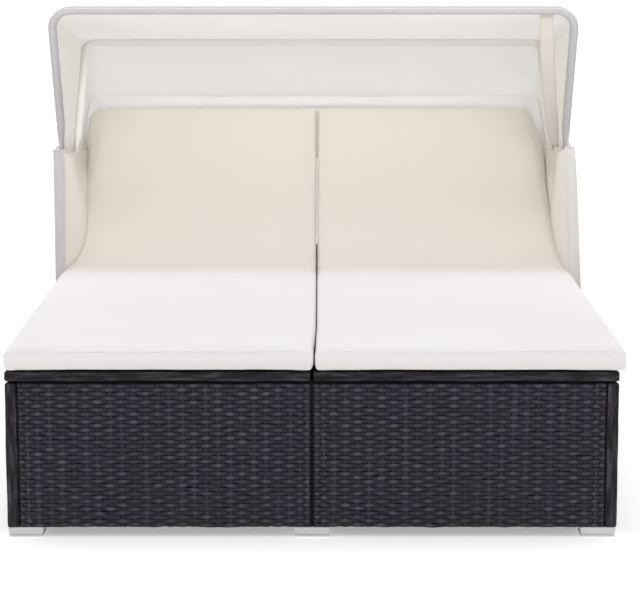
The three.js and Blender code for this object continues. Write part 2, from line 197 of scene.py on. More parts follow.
def ramp(nt, fac, stops):
    r = nt.nodes.new("ShaderNodeValToRGB")
    el = r.color_ramp.elements
    while len(el) < len(stops):
        el.new(0.5)
    for e, (pos, col) in zip(el, stops):
        e.position = pos
        e.color = (*col, 1) if len(col) == 3 else col
    nt.links.new(fac, r.inputs["Fac"])
    return r.outputs["Color"]

def mix_rgb(nt, fac, a, b, mode="MIX"):
    m = nt.nodes.new("ShaderNodeMix")
    m.data_type = "RGBA"
    m.blend_type = mode
    for sock, val in ((m.inputs[0], fac), (m.inputs[6], a), (m.inputs[7], b)):
        if isinstance(val, bpy.types.NodeSocket):
            nt.links.new(val, sock)
        elif isinstance(val, (int, float)):
            sock.default_value = val
        else:
            sock.default_value = (*val, 1)
    return m.outputs[2]

def math_node(nt, op, a, b=None, c=None):
    m = nt.nodes.new("ShaderNodeMath")
    m.operation = op
    for i, val in enumerate((a, b, c)):
        if val is None:
            continue
        if isinstance(val, bpy.types.NodeSocket):
            nt.links.new(val, m.inputs[i])
        else:
            m.inputs[i].default_value = val
    return m.outputs[0]

def bump(nt, height, strength, distance, normal=None):
    b = nt.nodes.new("ShaderNodeBump")
    b.inputs["Strength"].default_value = strength
    b.inputs["Distance"].default_value = distance
    nt.links.new(height, b.inputs["Height"])
    if normal is not None:
        nt.links.new(normal, b.inputs["Normal"])
    return b.outputs["Normal"]

def noise_tex(nt, vec, scale, detail=3, rough=0.5):
    n = nt.nodes.new("ShaderNodeTexNoise")
    n.inputs["Scale"].default_value = scale
    n.inputs["Detail"].default_value = detail
    n.inputs["Roughness"].default_value = rough
    nt.links.new(vec, n.inputs["Vector"])
    return n.outputs["Fac"]

def weave_height(nt, pitch):
    """Fine plain weave of a cloth in three directions, so that it shows on every side."""
    tc = nt.nodes.new("ShaderNodeTexCoord")
    sep = nt.nodes.new("ShaderNodeSeparateXYZ")
    nt.links.new(tc.outputs["Object"], sep.inputs[0])
    k = 2 * math.pi / pitch
    s = [math_node(nt, "SINE", math_node(nt, "MULTIPLY", sep.outputs[i], k)) for i in range(3)]
    yz = math_node(nt, "SINE", math_node(nt, "MULTIPLY", math_node(nt, "ADD", sep.outputs[1], sep.outputs[2]), k))
    return math_node(nt, "MULTIPLY", s[0], yz)

def cloth_mat(name, base, shade, weave_pitch=0.0014, rough=0.92, sheen=0.25, mottling=0.5, bump_strength=0.35, painted_shade=None, hem=None, thin=0.0):
    m, nt, bsdf = new_mat(name)
    vec = coords(nt)
    big = noise_tex(nt, vec, 2.3, 4, 0.6)
    fine = noise_tex(nt, vec, 260.0, 2, 0.5)
    col = ramp(nt, big, [(0.30, shade), (0.68, base)])
    if painted_shade is not None:
        # the shade tuple = (colour, from, to[, axis]): painted shade; the cloth turns towards this darker colour along
        # Y, or the given axis; 3 is the distance from the middle
        sep = nt.nodes.new("ShaderNodeSeparateXYZ")
        tc = nt.nodes.new("ShaderNodeTexCoord")
        nt.links.new(tc.outputs["Object"], sep.inputs[0])
        mr = nt.nodes.new("ShaderNodeMapRange")
        mr.inputs["From Min"].default_value = painted_shade[1]
        mr.inputs["From Max"].default_value = painted_shade[2]
        mr.interpolation_type = "SMOOTHSTEP"
        axis = painted_shade[3] if len(painted_shade) > 3 else 1
        nt.links.new(math_node(nt, "ABSOLUTE", sep.outputs[0]) if axis == 3 else sep.outputs[axis], mr.inputs["Value"])
        col = mix_rgb(nt, mr.outputs[0], col, painted_shade[0])
    if hem is not None:
        # hem = (colour, z0, z1): painted shade, the boxing of the front face turns towards this darker colour downwards
        sep = nt.nodes.new("ShaderNodeSeparateXYZ")
        tc = nt.nodes.new("ShaderNodeTexCoord")
        nt.links.new(tc.outputs["Object"], sep.inputs[0])
        mr = nt.nodes.new("ShaderNodeMapRange")
        mr.inputs["From Min"].default_value = hem[1]
        mr.inputs["From Max"].default_value = hem[2]
        mr.interpolation_type = "SMOOTHSTEP"
        nt.links.new(sep.outputs[2], mr.inputs["Value"])
        col = mix_rgb(nt, math_node(nt, "MULTIPLY", mr.outputs[0], 0.75), col, hem[0])
    wv = weave_height(nt, weave_pitch)
    tint = math_node(nt, "MULTIPLY_ADD", wv, 0.02, 0.98)
    comb = nt.nodes.new("ShaderNodeCombineColor")
    for i in range(3):
        nt.links.new(tint, comb.inputs[i])
    col = mix_rgb(nt, 1.0, col, comb.outputs[0], "MULTIPLY")
    nt.links.new(col, bsdf.inputs["Base Color"])
    r = math_node(nt, "MULTIPLY_ADD", fine, 0.10, rough - 0.05)
    nt.links.new(r, bsdf.inputs["Roughness"])
    bsdf.inputs["Sheen Weight"].default_value = sheen
    bsdf.inputs["Sheen Roughness"].default_value = 0.5
    bsdf.inputs["Specular IOR Level"].default_value = 0.2
    n1 = bump(nt, wv, bump_strength, 0.0002)
    soft = noise_tex(nt, vec, 9.0, 3, 0.55)
    n2 = bump(nt, soft, mottling, 0.004, n1)
    nt.links.new(n2, bsdf.inputs["Normal"])
    if thin:
        # single layer of cloth that lets daylight through
        tr = nt.nodes.new("ShaderNodeBsdfTranslucent")
        nt.links.new(col, tr.inputs["Color"])
        nt.links.new(n2, tr.inputs["Normal"])
        mx = nt.nodes.new("ShaderNodeMixShader")
        mx.inputs[0].default_value = thin
        out = nt.nodes["Material Output"]
        nt.links.new(bsdf.outputs["BSDF"], mx.inputs[1])
        nt.links.new(tr.outputs["BSDF"], mx.inputs[2])
        nt.links.new(mx.outputs[0], out.inputs["Surface"])
    return m

def rattan_mat(name, dark, light, axis, rough=0.42, crown_highlight=False, long=6.0, across=75, spec=0.28):
    """Flat extruded strands: fine lines along the strand, patches of slightly different tone, and on woven strands a
    painted highlight that makes their crowns paler, stronger on some strands than on others.
    """
    m, nt, bsdf = new_mat(name)
    sc = [across, across, across]
    sc[axis] = long
    tone = noise_tex(nt, coords(nt, tuple(sc)), 1.0, 3, 0.6)
    sl = [1400, 1400, 1400]
    sl[axis] = 22
    lines = noise_tex(nt, coords(nt, tuple(sl)), 1.0, 2, 0.6)
    big = noise_tex(nt, coords(nt), 4.0, 2, 0.5)
    fac = tone
    if crown_highlight:
        # painted highlight: the crown attribute, at a strength varied by a large noise and by the tone, turns the
        # colour from the dark stop towards the pale one
        at = nt.nodes.new("ShaderNodeAttribute")
        at.attribute_name = "crown_highlight"
        wear_and_highlight = math_node(nt, "MULTIPLY", at.outputs["Fac"], math_node(nt, "MULTIPLY_ADD", big, 0.9, 0.42))
        fac = math_node(nt, "MULTIPLY", wear_and_highlight, math_node(nt, "MULTIPLY_ADD", tone, 0.7, 0.65))
        stops = [(0.0, dark), (0.55, tuple(0.45 * a + 0.55 * b for a, b in zip(dark, light))), (1.0, light)]
    else:
        stops = [(0.41, dark), (0.52, tuple(0.72 * a + 0.28 * b for a, b in zip(dark, light))), (0.66, light)]
    col = ramp(nt, fac, stops)
    hue = noise_tex(nt, coords(nt), 7.0, 1, 0.5)
    col = mix_rgb(nt, 1.0, col, ramp(nt, hue, [(0.35, (0.96, 1.0, 1.0)), (0.65, (1.0, 0.95, 1.08))]), "MULTIPLY")
    nt.links.new(col, bsdf.inputs["Base Color"])
    nt.links.new(math_node(nt, "MULTIPLY_ADD", lines, 0.28, rough - 0.12), bsdf.inputs["Roughness"])
    nt.links.new(bump(nt, lines, 0.35, 0.0003), bsdf.inputs["Normal"])
    bsdf.inputs["Specular IOR Level"].default_value = spec
    return m

def coated_mat(name, base, wear_and_highlight, rough=0.42, metallic=0.0, grain=900, spec=0.5):
    m, nt, bsdf = new_mat(name)
    vec = coords(nt)
    peel = noise_tex(nt, vec, grain, 2, 0.5)
    patch = noise_tex(nt, vec, 14, 5, 0.65)
    col = ramp(nt, patch, [(0.35, base), (0.80, wear_and_highlight)])
    nt.links.new(col, bsdf.inputs["Base Color"])
    nt.links.new(math_node(nt, "MULTIPLY_ADD", patch, 0.25, rough - 0.1), bsdf.inputs["Roughness"])
    bsdf.inputs["Metallic"].default_value = metallic
    bsdf.inputs["Specular IOR Level"].default_value = spec
    nt.links.new(bump(nt, peel, 0.25, 0.0003), bsdf.inputs["Normal"])
    return m

# the dark strand colour, and the pale colour that is painted on the strands' crowns as a highlight
STRAND = ((0.0255, 0.0225, 0.0308), (0.084, 0.077, 0.099))
WRAP = ((0.0115, 0.0095, 0.0115), (0.068, 0.060, 0.070))
M_WEAVE_X = rattan_mat("rattan_strand_x", *STRAND, 0, crown_highlight=True, spec=0.18)
M_WEAVE_Y = rattan_mat("rattan_strand_y", *STRAND, 1, crown_highlight=True, spec=0.18)
M_WARP = rattan_mat("rattan_warp", (0.014, 0.0125, 0.0165), (0.036, 0.032, 0.042), 2, rough=0.55, spec=0.22)
M_WRAP_X = rattan_mat("rattan_wrap_x", *WRAP, 0, rough=0.5, long=17, across=120, spec=0.16)
M_WRAP_Y = rattan_mat("rattan_wrap_y", *WRAP, 1, rough=0.5, long=17, across=120, spec=0.16)
M_WRAP_Z = rattan_mat("rattan_wrap_z", *WRAP, 2, rough=0.5, long=17, across=120, spec=0.16)
# near-black coat for the CAD nodes carried over as they are, and for the painted-shade sheet behind the woven panels
M_BACKING_AND_SHADE_SHEET = coated_mat("backing_and_shade_sheet", (0.0080, 0.0075, 0.0092), (0.013, 0.012, 0.0145), 0.85, spec=0.06)
M_STEEL = coated_mat("black_powder_coat", (0.008, 0.008, 0.009), (0.016, 0.016, 0.018), 0.5, spec=0.22)
M_ZINC = coated_mat("zinc_plate", (0.50, 0.51, 0.53), (0.62, 0.62, 0.62), 0.34, 1.0, grain=400)
M_BOW = coated_mat("bow_powder_coat", (0.52, 0.52, 0.52), (0.60, 0.60, 0.59), 0.38)
M_FOOT = coated_mat("foot_satin_grey", (0.60, 0.58, 0.60), (0.73, 0.71, 0.73), 0.45, 0.0, grain=1500)
# painted shade: the cushion cloth turns a darker cream on the backrest part, for the shade under the canopy, and darker
# downwards on the lowest part of the seat's front face
M_CUSHION = cloth_mat("cushion_cloth", (0.878, 0.848, 0.854), (0.858, 0.824, 0.830), 0.0013, 0.92, 0.1, 0.30,
                      painted_shade=((0.726, 0.694, 0.634), -0.03, 0.22), hem=((0.745, 0.716, 0.676), RIM_TOP + 0.034, RIM_TOP + 0.004))
# painted shade: the canopy cloth turns darker towards the hood's sides
M_CANOPY = cloth_mat("canopy_cloth", (0.955, 0.941, 0.936), (0.932, 0.917, 0.911), 0.0016, 0.9, 0.1, 0.45, thin=0.62, painted_shade=((0.900, 0.889, 0.862), 0.640, 0.668, 3))
M_TRIM = cloth_mat("canopy_trim_cloth", (0.425, 0.412, 0.420), (0.385, 0.373, 0.382), 0.0016, 0.9, 0.1, 0.5)
# painted shade: the mid bow's sleeve turns darker on its right arm
M_SLEEVE = cloth_mat("bow_sleeve_cloth", (0.962, 0.945, 0.920), (0.94, 0.92, 0.893), 0.0016, 0.9, 0.1, 0.6, painted_shade=((0.78, 0.745, 0.69), 0.636, 0.653, 0))
M_REAR_SLEEVE = cloth_mat("rear_sleeve_cloth", (0.945, 0.925, 0.90), (0.925, 0.905, 0.88), 0.0016, 0.9, 0.1, 0.6, thin=0.10)
# painted shade: both skirts turn greyer at their front ends, the left one more
M_SKIRT_LEFT = cloth_mat("skirt_cloth_left", (0.975, 0.960, 0.932), (0.955, 0.938, 0.910), 0.0016, 0.9, 0.42, 0.6, thin=0.80, painted_shade=((0.821, 0.809, 0.821), 0.128, 0.108))
M_SKIRT_RIGHT = cloth_mat("skirt_cloth_right", (0.978, 0.962, 0.938), (0.958, 0.942, 0.916), 0.0016, 0.9, 0.50, 0.6, thin=0.80, painted_shade=((0.905, 0.897, 0.890), 0.128, 0.108))
M_FACING = cloth_mat("rear_hem_facing_cloth", (0.935, 0.918, 0.905), (0.92, 0.902, 0.888), 0.0016, 0.9, 0.1, 0.5)
M_STRAP = cloth_mat("strap_cloth", (0.850, 0.822, 0.783), (0.810, 0.782, 0.743), 0.0022, 0.9, 0.1, 0.5, thin=0.52)
M_THREAD = cloth_mat("seam_thread", (0.74, 0.70, 0.64), (0.66, 0.62, 0.56), 0.0008, 0.9, 0.0, 0.2)

# ------------------------------------------------------------------ carried-over CAD nodes
for name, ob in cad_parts.items():
    if name in ("front_frame", "rear_frame", "side_frame_left", "side_frame_right", "center_beam", "hinge_beam") \
            or name.startswith(("back_frame", "canopy_bracket")):
        mat = M_STEEL
    elif name.startswith(("hinge_pin", "canopy_bolt", "rack_rail", "prop_bar")):
        mat = M_ZINC
    elif name.endswith("_bow"):
        mat = M_BOW
    else:
        mat = M_BACKING_AND_SHADE_SHEET
    ob.data.materials.clear()
    ob.data.materials.append(mat)

# ------------------------------------------------------------------ woven panels
WARP = 0.0260
WEFT = 0.0087

def weave_panel(name, origin, U, V, N, width, height, body, replaces, mat, per_col=6, warp_mat=None, wpitch=WARP, fpitch=WEFT, depth=0.0075, seed=0, narrow=2, stitch=False, shade_sheet=(0.0, 0.0)):
    """Horizontal strands along U over and under uprights along V. origin is the panel's lower corner on its outer face."""
    o, U, V, N = (np.asarray(a, float) for a in (origin, U, V, N))
    # centres of the uprights: the two outer columns at each edge are narrower
    inner_w = width - 2 * narrow * wpitch * 0.58
    n_in = max(1, round(inner_w / wpitch))
    pitch = inner_w / n_in
    w_e = wpitch * 0.58
    edges = [0.0]
    for _ in range(narrow):
        edges.append(edges[-1] + w_e)
    for _ in range(n_in):
        edges.append(edges[-1] + pitch)
    for _ in range(narrow):
        edges.append(edges[-1] + w_e)
    edges = np.array(edges)
    cols = len(edges) - 1
    rows = max(1, round(height / fpitch))
    pv = height / rows
    xs = np.concatenate([np.linspace(edges[c], edges[c + 1], per_col, endpoint=False) for c in range(cols)] + [[width]])
    par = np.interp(xs, edges, np.arange(cols + 1))        # column number along the strand
    n = len(xs)
    hw = pv * 0.54
    section = [(-hw, -0.0006), (-hw * 0.62, 0.0), (0.0, 0.0003), (hw * 0.62, 0.0), (hw, -0.0006), (0.0, -0.0014)]
    verts, faces, crown_highlight = [], [], []
    r = np.random.default_rng(100 + seed)
    for k in range(rows):
        c = np.cos(np.pi * (par - 0.5) + math.pi * k)      # +1 at the middle of a column that it passes over
        f = np.sign(c) * np.abs(c) ** 0.8
        amp = 0.0010 * (1 + 0.15 * r.standard_normal())
        lift = -0.0024 + amp * f
        fade = np.clip(np.minimum(xs, width - xs) / (0.35 * w_e), 0, 1)
        lift = -0.0052 + (lift + 0.0052) * fade
        tw = np.interp(par, np.arange(cols + 1), 0.13 * r.standard_normal(cols + 1))
        dv = 0.0006 * np.interp(par, np.arange(cols + 1), r.standard_normal(cols + 1))
        # painted highlight: a random strength for each column of the pale colour painted on the strands' crowns, where
        # they pass over an upright
        wear_and_highlight = np.interp(par, np.arange(cols + 1), np.clip(0.66 + 0.42 * r.standard_normal(cols + 1), 0.04, 1.5))
        v0 = (k + 0.5) * pv
        off = len(verts)
        for i in range(n):
            cr = min(max((c[i] - 0.56) / 0.26, 0.0), 1.0)
            cr = cr * cr * (3 - 2 * cr) * wear_and_highlight[i]
            for q, (a, b) in enumerate(section):
                h = a * (0.97 + 0.03 * f[i])
                verts.append(o + U * xs[i] + V * (v0 + h + dv[i]) + N * (lift[i] + b + tw[i] * a))
                crown_highlight.append(cr * (0.0, 0.55, 1.0, 0.75, 0.0, 0.0)[q])
        faces += grid_faces(n, 6, wrap_v=True, offset=off)
        faces.append(tuple(off + j for j in range(6)))
        faces.append(tuple(off + (n - 1) * 6 + j for j in range(6))[::-1])
    ob = mesh_object(name, verts, faces, mat)
    at = ob.data.attributes.new("crown_highlight", "FLOAT", "POINT")
    at.data.foreach_set("value", np.array(crown_highlight, np.float32))
    fix_normals(ob)
    # broad flat uprights, which come forward where a strand dips behind them
    verts, faces = [], []
    m = rows * 4 + 1
    zs = np.linspace(0, height, m)
    for c_ in range(cols):
        x0 = (edges[c_] + edges[c_ + 1]) / 2
        ww = 0.27 * (edges[c_ + 1] - edges[c_])
        sec = [(-ww, -0.0005), (-ww * 0.5, 0.0002), (0.0, 0.00035), (ww * 0.5, 0.0002), (ww, -0.0005), (0, -0.0011)]
        off = len(verts)
        ph = math.cos(math.pi * c_)
        for i in range(m):
            row = min(rows - 1, int(zs[i] / pv))
            over = -math.cos(math.pi * row) * ph            # +1 where the strand of this row dips behind
            t = abs(math.sin(math.pi * (zs[i] / pv)))
            lift = -0.0028 + 0.0011 * over * t
            for (a, b) in sec:
                verts.append(o + U * (x0 + a) + V * zs[i] + N * (lift + b))
        faces += grid_faces(m, 6, wrap_v=True, offset=off)
        faces.append(tuple(off + j for j in range(6)))
        faces.append(tuple(off + (m - 1) * 6 + j for j in range(6))[::-1])
    warp = mesh_object(name + "_uprights", verts, faces, warp_mat or M_WARP)
    fix_normals(warp)
    # painted shade: a dark sheet behind the weave stands in for the shaded inside of the base; it reaches 4 mm above
    # the weave, where it shows as a painted shadow line under the rim
    e_a, e_b = shade_sheet
    q = [o - U * e_a + N * -(depth - 0.0008), o + U * (width + e_b) + N * -(depth - 0.0008), o + U * (width + e_b) + V * (height + 0.004) + N * -(depth - 0.0008), o - U * e_a + V * (height + 0.004) + N * -(depth - 0.0008)]
    q += [p - N * 0.0006 for p in q]
    back = mesh_object(name + "_lining", q, [(0, 1, 2, 3), (7, 6, 5, 4), (0, 4, 5, 1), (1, 5, 6, 2), (2, 6, 7, 3), (3, 7, 4, 0)], M_BACKING_AND_SHADE_SHEET, smooth=False)
    fix_normals(back)
    pieces = [ob, warp, back]
    if stitch:
        # small upright stitches that hold the strands' ends beside each edge
        verts, faces = [], []
        for e0 in (0.0055, 0.0205, width - 0.0205, width - 0.0055):
            for k in range(rows):
                if (k + int(e0 * 1000)) % 2:
                    continue
                v0 = (k + 0.5) * pv + 0.0006 * r.standard_normal()
                x0 = e0 + 0.0008 * r.standard_normal()
                off = len(verts)
                L = 0.0058
                for i in range(7):
                    t = i / 6
                    bow = math.sin(math.pi * t)
                    for (a, b) in ((-0.0019, -0.0002), (-0.0010, 0.0006), (0.0010, 0.0006), (0.0019, -0.0002), (0, -0.0008)):
                        verts.append(o + U * (x0 + a) + V * (v0 + (t - 0.5) * 2 * L * 0.72) + N * (-0.0034 + 0.0024 * bow + b))
                faces += grid_faces(7, 5, wrap_v=True, offset=off)
                faces.append(tuple(off + j for j in range(5)))
                faces.append(tuple(off + 30 + j for j in range(5))[::-1])
        st = mesh_object(name + "_stitches", verts, faces, M_STITCH)
        fix_normals(st)
        pieces.append(st)
    for piece in pieces:
        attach(piece, body)
    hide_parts(replaces)
    return ob

M_STITCH = rattan_mat("rattan_stitch", (0.020, 0.018, 0.024), (0.085, 0.078, 0.095), 2, rough=0.45)

inX, z0, zh = 0.6245, 0.021, 0.3110
front_y = -0.999 + SHIFT
back_y = 0.999 + SHIFT
weave_panel("woven_front_left", (-inX, front_y, z0), (1, 0, 0), (0, 0, 1), (0, -1, 0), inX - 0.0030, zh, "base", "front_panel_left", M_WEAVE_X, 8, seed=1, stitch=True, shade_sheet=(0.0, 0.0026))
weave_panel("woven_front_right", (0.0030, front_y, z0), (1, 0, 0), (0, 0, 1), (0, -1, 0), inX - 0.0030, zh, "base", "front_panel_right", M_WEAVE_X, 8, seed=2, stitch=True, shade_sheet=(0.0026, 0.0))
weave_panel("woven_rear_left", (-0.0015, back_y, z0), (-1, 0, 0), (0, 0, 1), (0, 1, 0), inX - 0.0015, zh, "base", "rear_panel_left", M_WEAVE_X, 4, seed=3)
weave_panel("woven_rear_right", (inX, back_y, z0), (-1, 0, 0), (0, 0, 1), (0, 1, 0), inX - 0.0015, zh, "base", "rear_panel_right", M_WEAVE_X, 4, seed=4)
weave_panel("woven_side_left", (-0.6497, 0.9745 + SHIFT, z0), (0, -1, 0), (0, 0, 1), (-1, 0, 0), 1.949, zh, "base", "side_panel_left", M_WEAVE_Y, 4, seed=5)
weave_panel("woven_side_right", (0.6497, -0.9745 + SHIFT, z0), (0, 1, 0), (0, 0, 1), (1, 0, 0), 1.949, zh, "base", "side_panel_right", M_WEAVE_Y, 4, seed=6)

# ------------------------------------------------------------------ wrapped rims and posts
def wrapped_bar(name, lo, hi, axis, mat, body, replaces, strands=3, seed=0):
    lo, hi = np.array(lo, float), np.array(hi, float)
    c = (lo + hi) / 2
    half = (hi - lo) / 2
    a, b = [i for i in range(3) if i != axis]
    ha, hb = half[a], half[b]
    r = 0.0042
    loop, phase = [], []
    def side(p0, p1, out):
        p0, p1, out = np.array(p0), np.array(p1), np.array(out)
        k = strands * 6
        for i in range(k):
            t = i / k
            x = (t * strands) % 1.0
            dip = -0.0011 * (abs(math.cos(math.pi * x)) ** 6)
            loop.append(p0 + (p1 - p0) * t + out * dip)
            phase.append(int(t * strands))
    def corner(cx, cy, a0, k0):
        for i in range(5):
            an = math.radians(a0 + 90 * i / 4)
            loop.append(np.array([cx + r * math.cos(an), cy + r * math.sin(an)]))
            phase.append(k0)
    side((ha, -hb + r), (ha, hb - r), (1, 0)); corner(ha - r, hb - r, 0, 3)
    side((ha - r, hb), (-ha + r, hb), (0, 1)); corner(-ha + r, hb - r, 90, 4)
    side((-ha, hb - r), (-ha, -hb + r), (-1, 0)); corner(-ha + r, -hb + r, 180, 5)
    side((-ha + r, -hb), (ha - r, -hb), (0, -1)); corner(ha - r, -hb + r, 270, 6)
    L = hi[axis] - lo[axis]
    n = max(10, int(L / 0.011))
    e = 0.0040
    stations = [(0.0, e * 0.85), (e * 0.12, e * 0.5), (e * 0.4, e * 0.18), (e, 0.0)]
    stations += [(e + (L - 2 * e) * i / n, 0.0) for i in range(1, n)]
    stations += [(L - e, 0.0), (L - e * 0.4, e * 0.18), (L - e * 0.12, e * 0.5), (L, e * 0.85)]
    verts = []
    for s_, inset in stations:
        for k, p in enumerate(loop):
            m_ = np.linalg.norm(p)
            d = p / m_
            wave = 0.0013 * nz(s_ * 11, phase[k] * 3.7, 0.3, seed) + 0.0006 * nz(s_ * 42, k * 0.5, seed, seed)
            q = p - d * (inset + 0.0004) + d * min(wave, 0.0008)
            v = np.zeros(3)
            v[axis] = lo[axis] + s_
            v[a] = c[a] + q[0]
            v[b] = c[b] + q[1]
            verts.append(v)
    m = len(loop)
    faces = grid_faces(len(stations), m, wrap_v=True)
    faces.append(tuple(range(m)))
    faces.append(tuple((len(stations) - 1) * m + k for k in range(m))[::-1])
    ob = mesh_object(name, verts, faces, mat)
    fix_normals(ob)
    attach(ob, body)
    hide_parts(replaces)
    return ob

seed = 10
for n_ in list(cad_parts):
    if "_rim" in n_ or n_.startswith("corner_post"):
        lo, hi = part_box(n_)
        size = [hi[i] - lo[i] for i in range(3)]
        axis = int(np.argmax(size))
        seed += 1
        if n_.startswith("front_rim"):
            lo, hi = list(lo), list(hi)
            lo[2] += 0.0046
            if n_.endswith("left"):
                hi[0] -= 0.0020
            else:
                lo[0] += 0.0020
        wrapped_bar("wrapped_" + n_, lo, hi, axis, (M_WRAP_X, M_WRAP_Y, M_WRAP_Z)[axis], "base", n_, seed=seed)

# ------------------------------------------------------------------ feet
def foot(n_):
    lo, hi = (np.array(p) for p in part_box(n_))
    bm = bmesh.new()
    bmesh.ops.create_cube(bm, size=1.0)
    for v in bm.verts:
        for i in range(3):
            v.co[i] = lo[i] if v.co[i] < 0 else hi[i]
        if v.co[2] < 0.001:
            for i in (0, 1):
                v.co[i] += (0.0012 if v.co[i] < (lo[i] + hi[i]) / 2 else -0.0012)
    # a shallow groove above the sole
    geom = bm.verts[:] + bm.edges[:] + bm.faces[:]
    bmesh.ops.bisect_plane(bm, geom=geom, plane_co=(0, 0, 0.0040), plane_no=(0, 0, 1))
    geom = bm.verts[:] + bm.edges[:] + bm.faces[:]
    bmesh.ops.bisect_plane(bm, geom=geom, plane_co=(0, 0, 0.0048), plane_no=(0, 0, 1))
    geom = bm.verts[:] + bm.edges[:] + bm.faces[:]
    bmesh.ops.bisect_plane(bm, geom=geom, plane_co=(0, 0, 0.0056), plane_no=(0, 0, 1))
    cx, cy = (lo[0] + hi[0]) / 2, (lo[1] + hi[1]) / 2
    for v in bm.verts:
        if abs(v.co[2] - 0.0048) < 1e-5:
            v.co[0] += 0.0010 * (1 if v.co[0] < cx else -1)
            v.co[1] += 0.0010 * (1 if v.co[1] < cy else -1)
    bmesh.ops.bevel(bm, geom=[e for e in bm.edges if e.calc_face_angle(0) > 1.0], offset=0.0011, segments=2, affect="EDGES")
    me = bpy.data.meshes.new("moulded_" + n_)
    bmesh.ops.recalc_face_normals(bm, faces=bm.faces)
    bm.to_mesh(me)
    bm.free()
    me.materials.append(M_FOOT)
    ob = bpy.data.objects.new("moulded_" + n_, me)
    scene.collection.objects.link(ob)
    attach(ob, "base")
    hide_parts(n_)

for n_ in list(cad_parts):
    if n_.startswith("foot_"):
        foot(n_)

# ------------------------------------------------------------------ decks
def deck(side, s):
    # seat deck, flat, under the seat cushion
    lo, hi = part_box(f"seat_deck_{side}")
    weave_panel(f"woven_seat_deck_{side}", (lo[0], lo[1], hi[2]), (1, 0, 0), (0, 1, 0), (0, 0, 1), hi[0] - lo[0], hi[1] - lo[1],
                "base", f"seat_deck_{side}", M_WEAVE_X, 2, fpitch=0.0174, wpitch=0.052, seed=20 + (s > 0))
    # backrest deck, woven on the rear side too
    c_, s_ = math.cos(REST), math.sin(REST)
    def w(u, v):
        return np.array([0, HINGE[0] + u * c_ - v * s_, HINGE[1] + u * s_ + v * c_])
    x0, x1 = (0.018, 0.612) if s > 0 else (-0.612, -0.018)
    low = w(0.016, 0.0128)
    N = (0, s_, -c_)
    weave_panel(f"woven_back_deck_{side}", (x1, low[1], low[2]), (-1, 0, 0), (0, c_, s_), N, x1 - x0, 0.754,
                f"backrest_{side}", f"back_deck_{side}", M_WEAVE_X, 4, seed=30 + (s > 0), depth=0.0072)

for side, s in (("left", -1), ("right", 1)):
    deck(side, s)

# ------------------------------------------------------------------ cushions
THICK = 0.050

def smooth01(v, a, b):
    t = np.clip((v - a) / (b - a), 0, 1)
    return t * t * (3 - 2 * t)

def cushion_path(u):
    """Angle of the cushion's underside line: u is the distance from the hinge, negative on the seat. Returns the angle.
    """
    bend = 0.150  # length of the bend, centred on the hinge
    a = min(max((u + bend / 2) / bend, 0.0), 1.0)
    # angle eased over the bend
    ang = REST * (a * a * (3 - 2 * a))
    return ang

def build_path():
    us = np.arange(-1.240, 0.812, 0.002)
    ang = np.array([cushion_path(u) for u in us])
    dy = np.cos(ang) * 0.002
    dz = np.sin(ang) * 0.002
    y = np.concatenate([[0], np.cumsum(dy[:-1])])
    z = np.concatenate([[0], np.cumsum(dz[:-1])])
    # the seat part lies at the seat's height; the front end sets the place along Y
    i0 = np.searchsorted(us, -1.204)
    y = y - y[i0] + (-1.004 + SHIFT)
    z = z - z[i0] + RIM_TOP + 0.0006
    return us, y, z, ang

PATH = build_path()

def on_path(u, t):
    us, y, z, ang = PATH
    Y = np.interp(u, us, y)
    Z = np.interp(u, us, z)
    A = np.interp(u, us, ang)
    return Y - t * math.sin(A), Z + t * math.cos(A)

CROWN = 0.0525

def on_path_many(u, t):
    us, y, z, ang = PATH
    a = np.interp(u, us, ang)
    return np.interp(u, us, y) - t * np.sin(a), np.interp(u, us, z) + t * np.cos(a)

def path_coords(p):
    """Place along the underside's line, and height above it, of each point."""
    us, y, z, ang = PATH
    u = np.interp(p[:, 1], y, us)
    for _ in range(12):
        a = np.interp(u, us, ang)
        dy, dz = p[:, 1] - np.interp(u, us, y), p[:, 2] - np.interp(u, us, z)
        u = u + 0.9 * (dy * np.cos(a) + dz * np.sin(a))
    a = np.interp(u, us, ang)
    dy, dz = p[:, 1] - np.interp(u, us, y), p[:, 2] - np.interp(u, us, z)
    return u, dz * np.cos(a) - dy * np.sin(a)

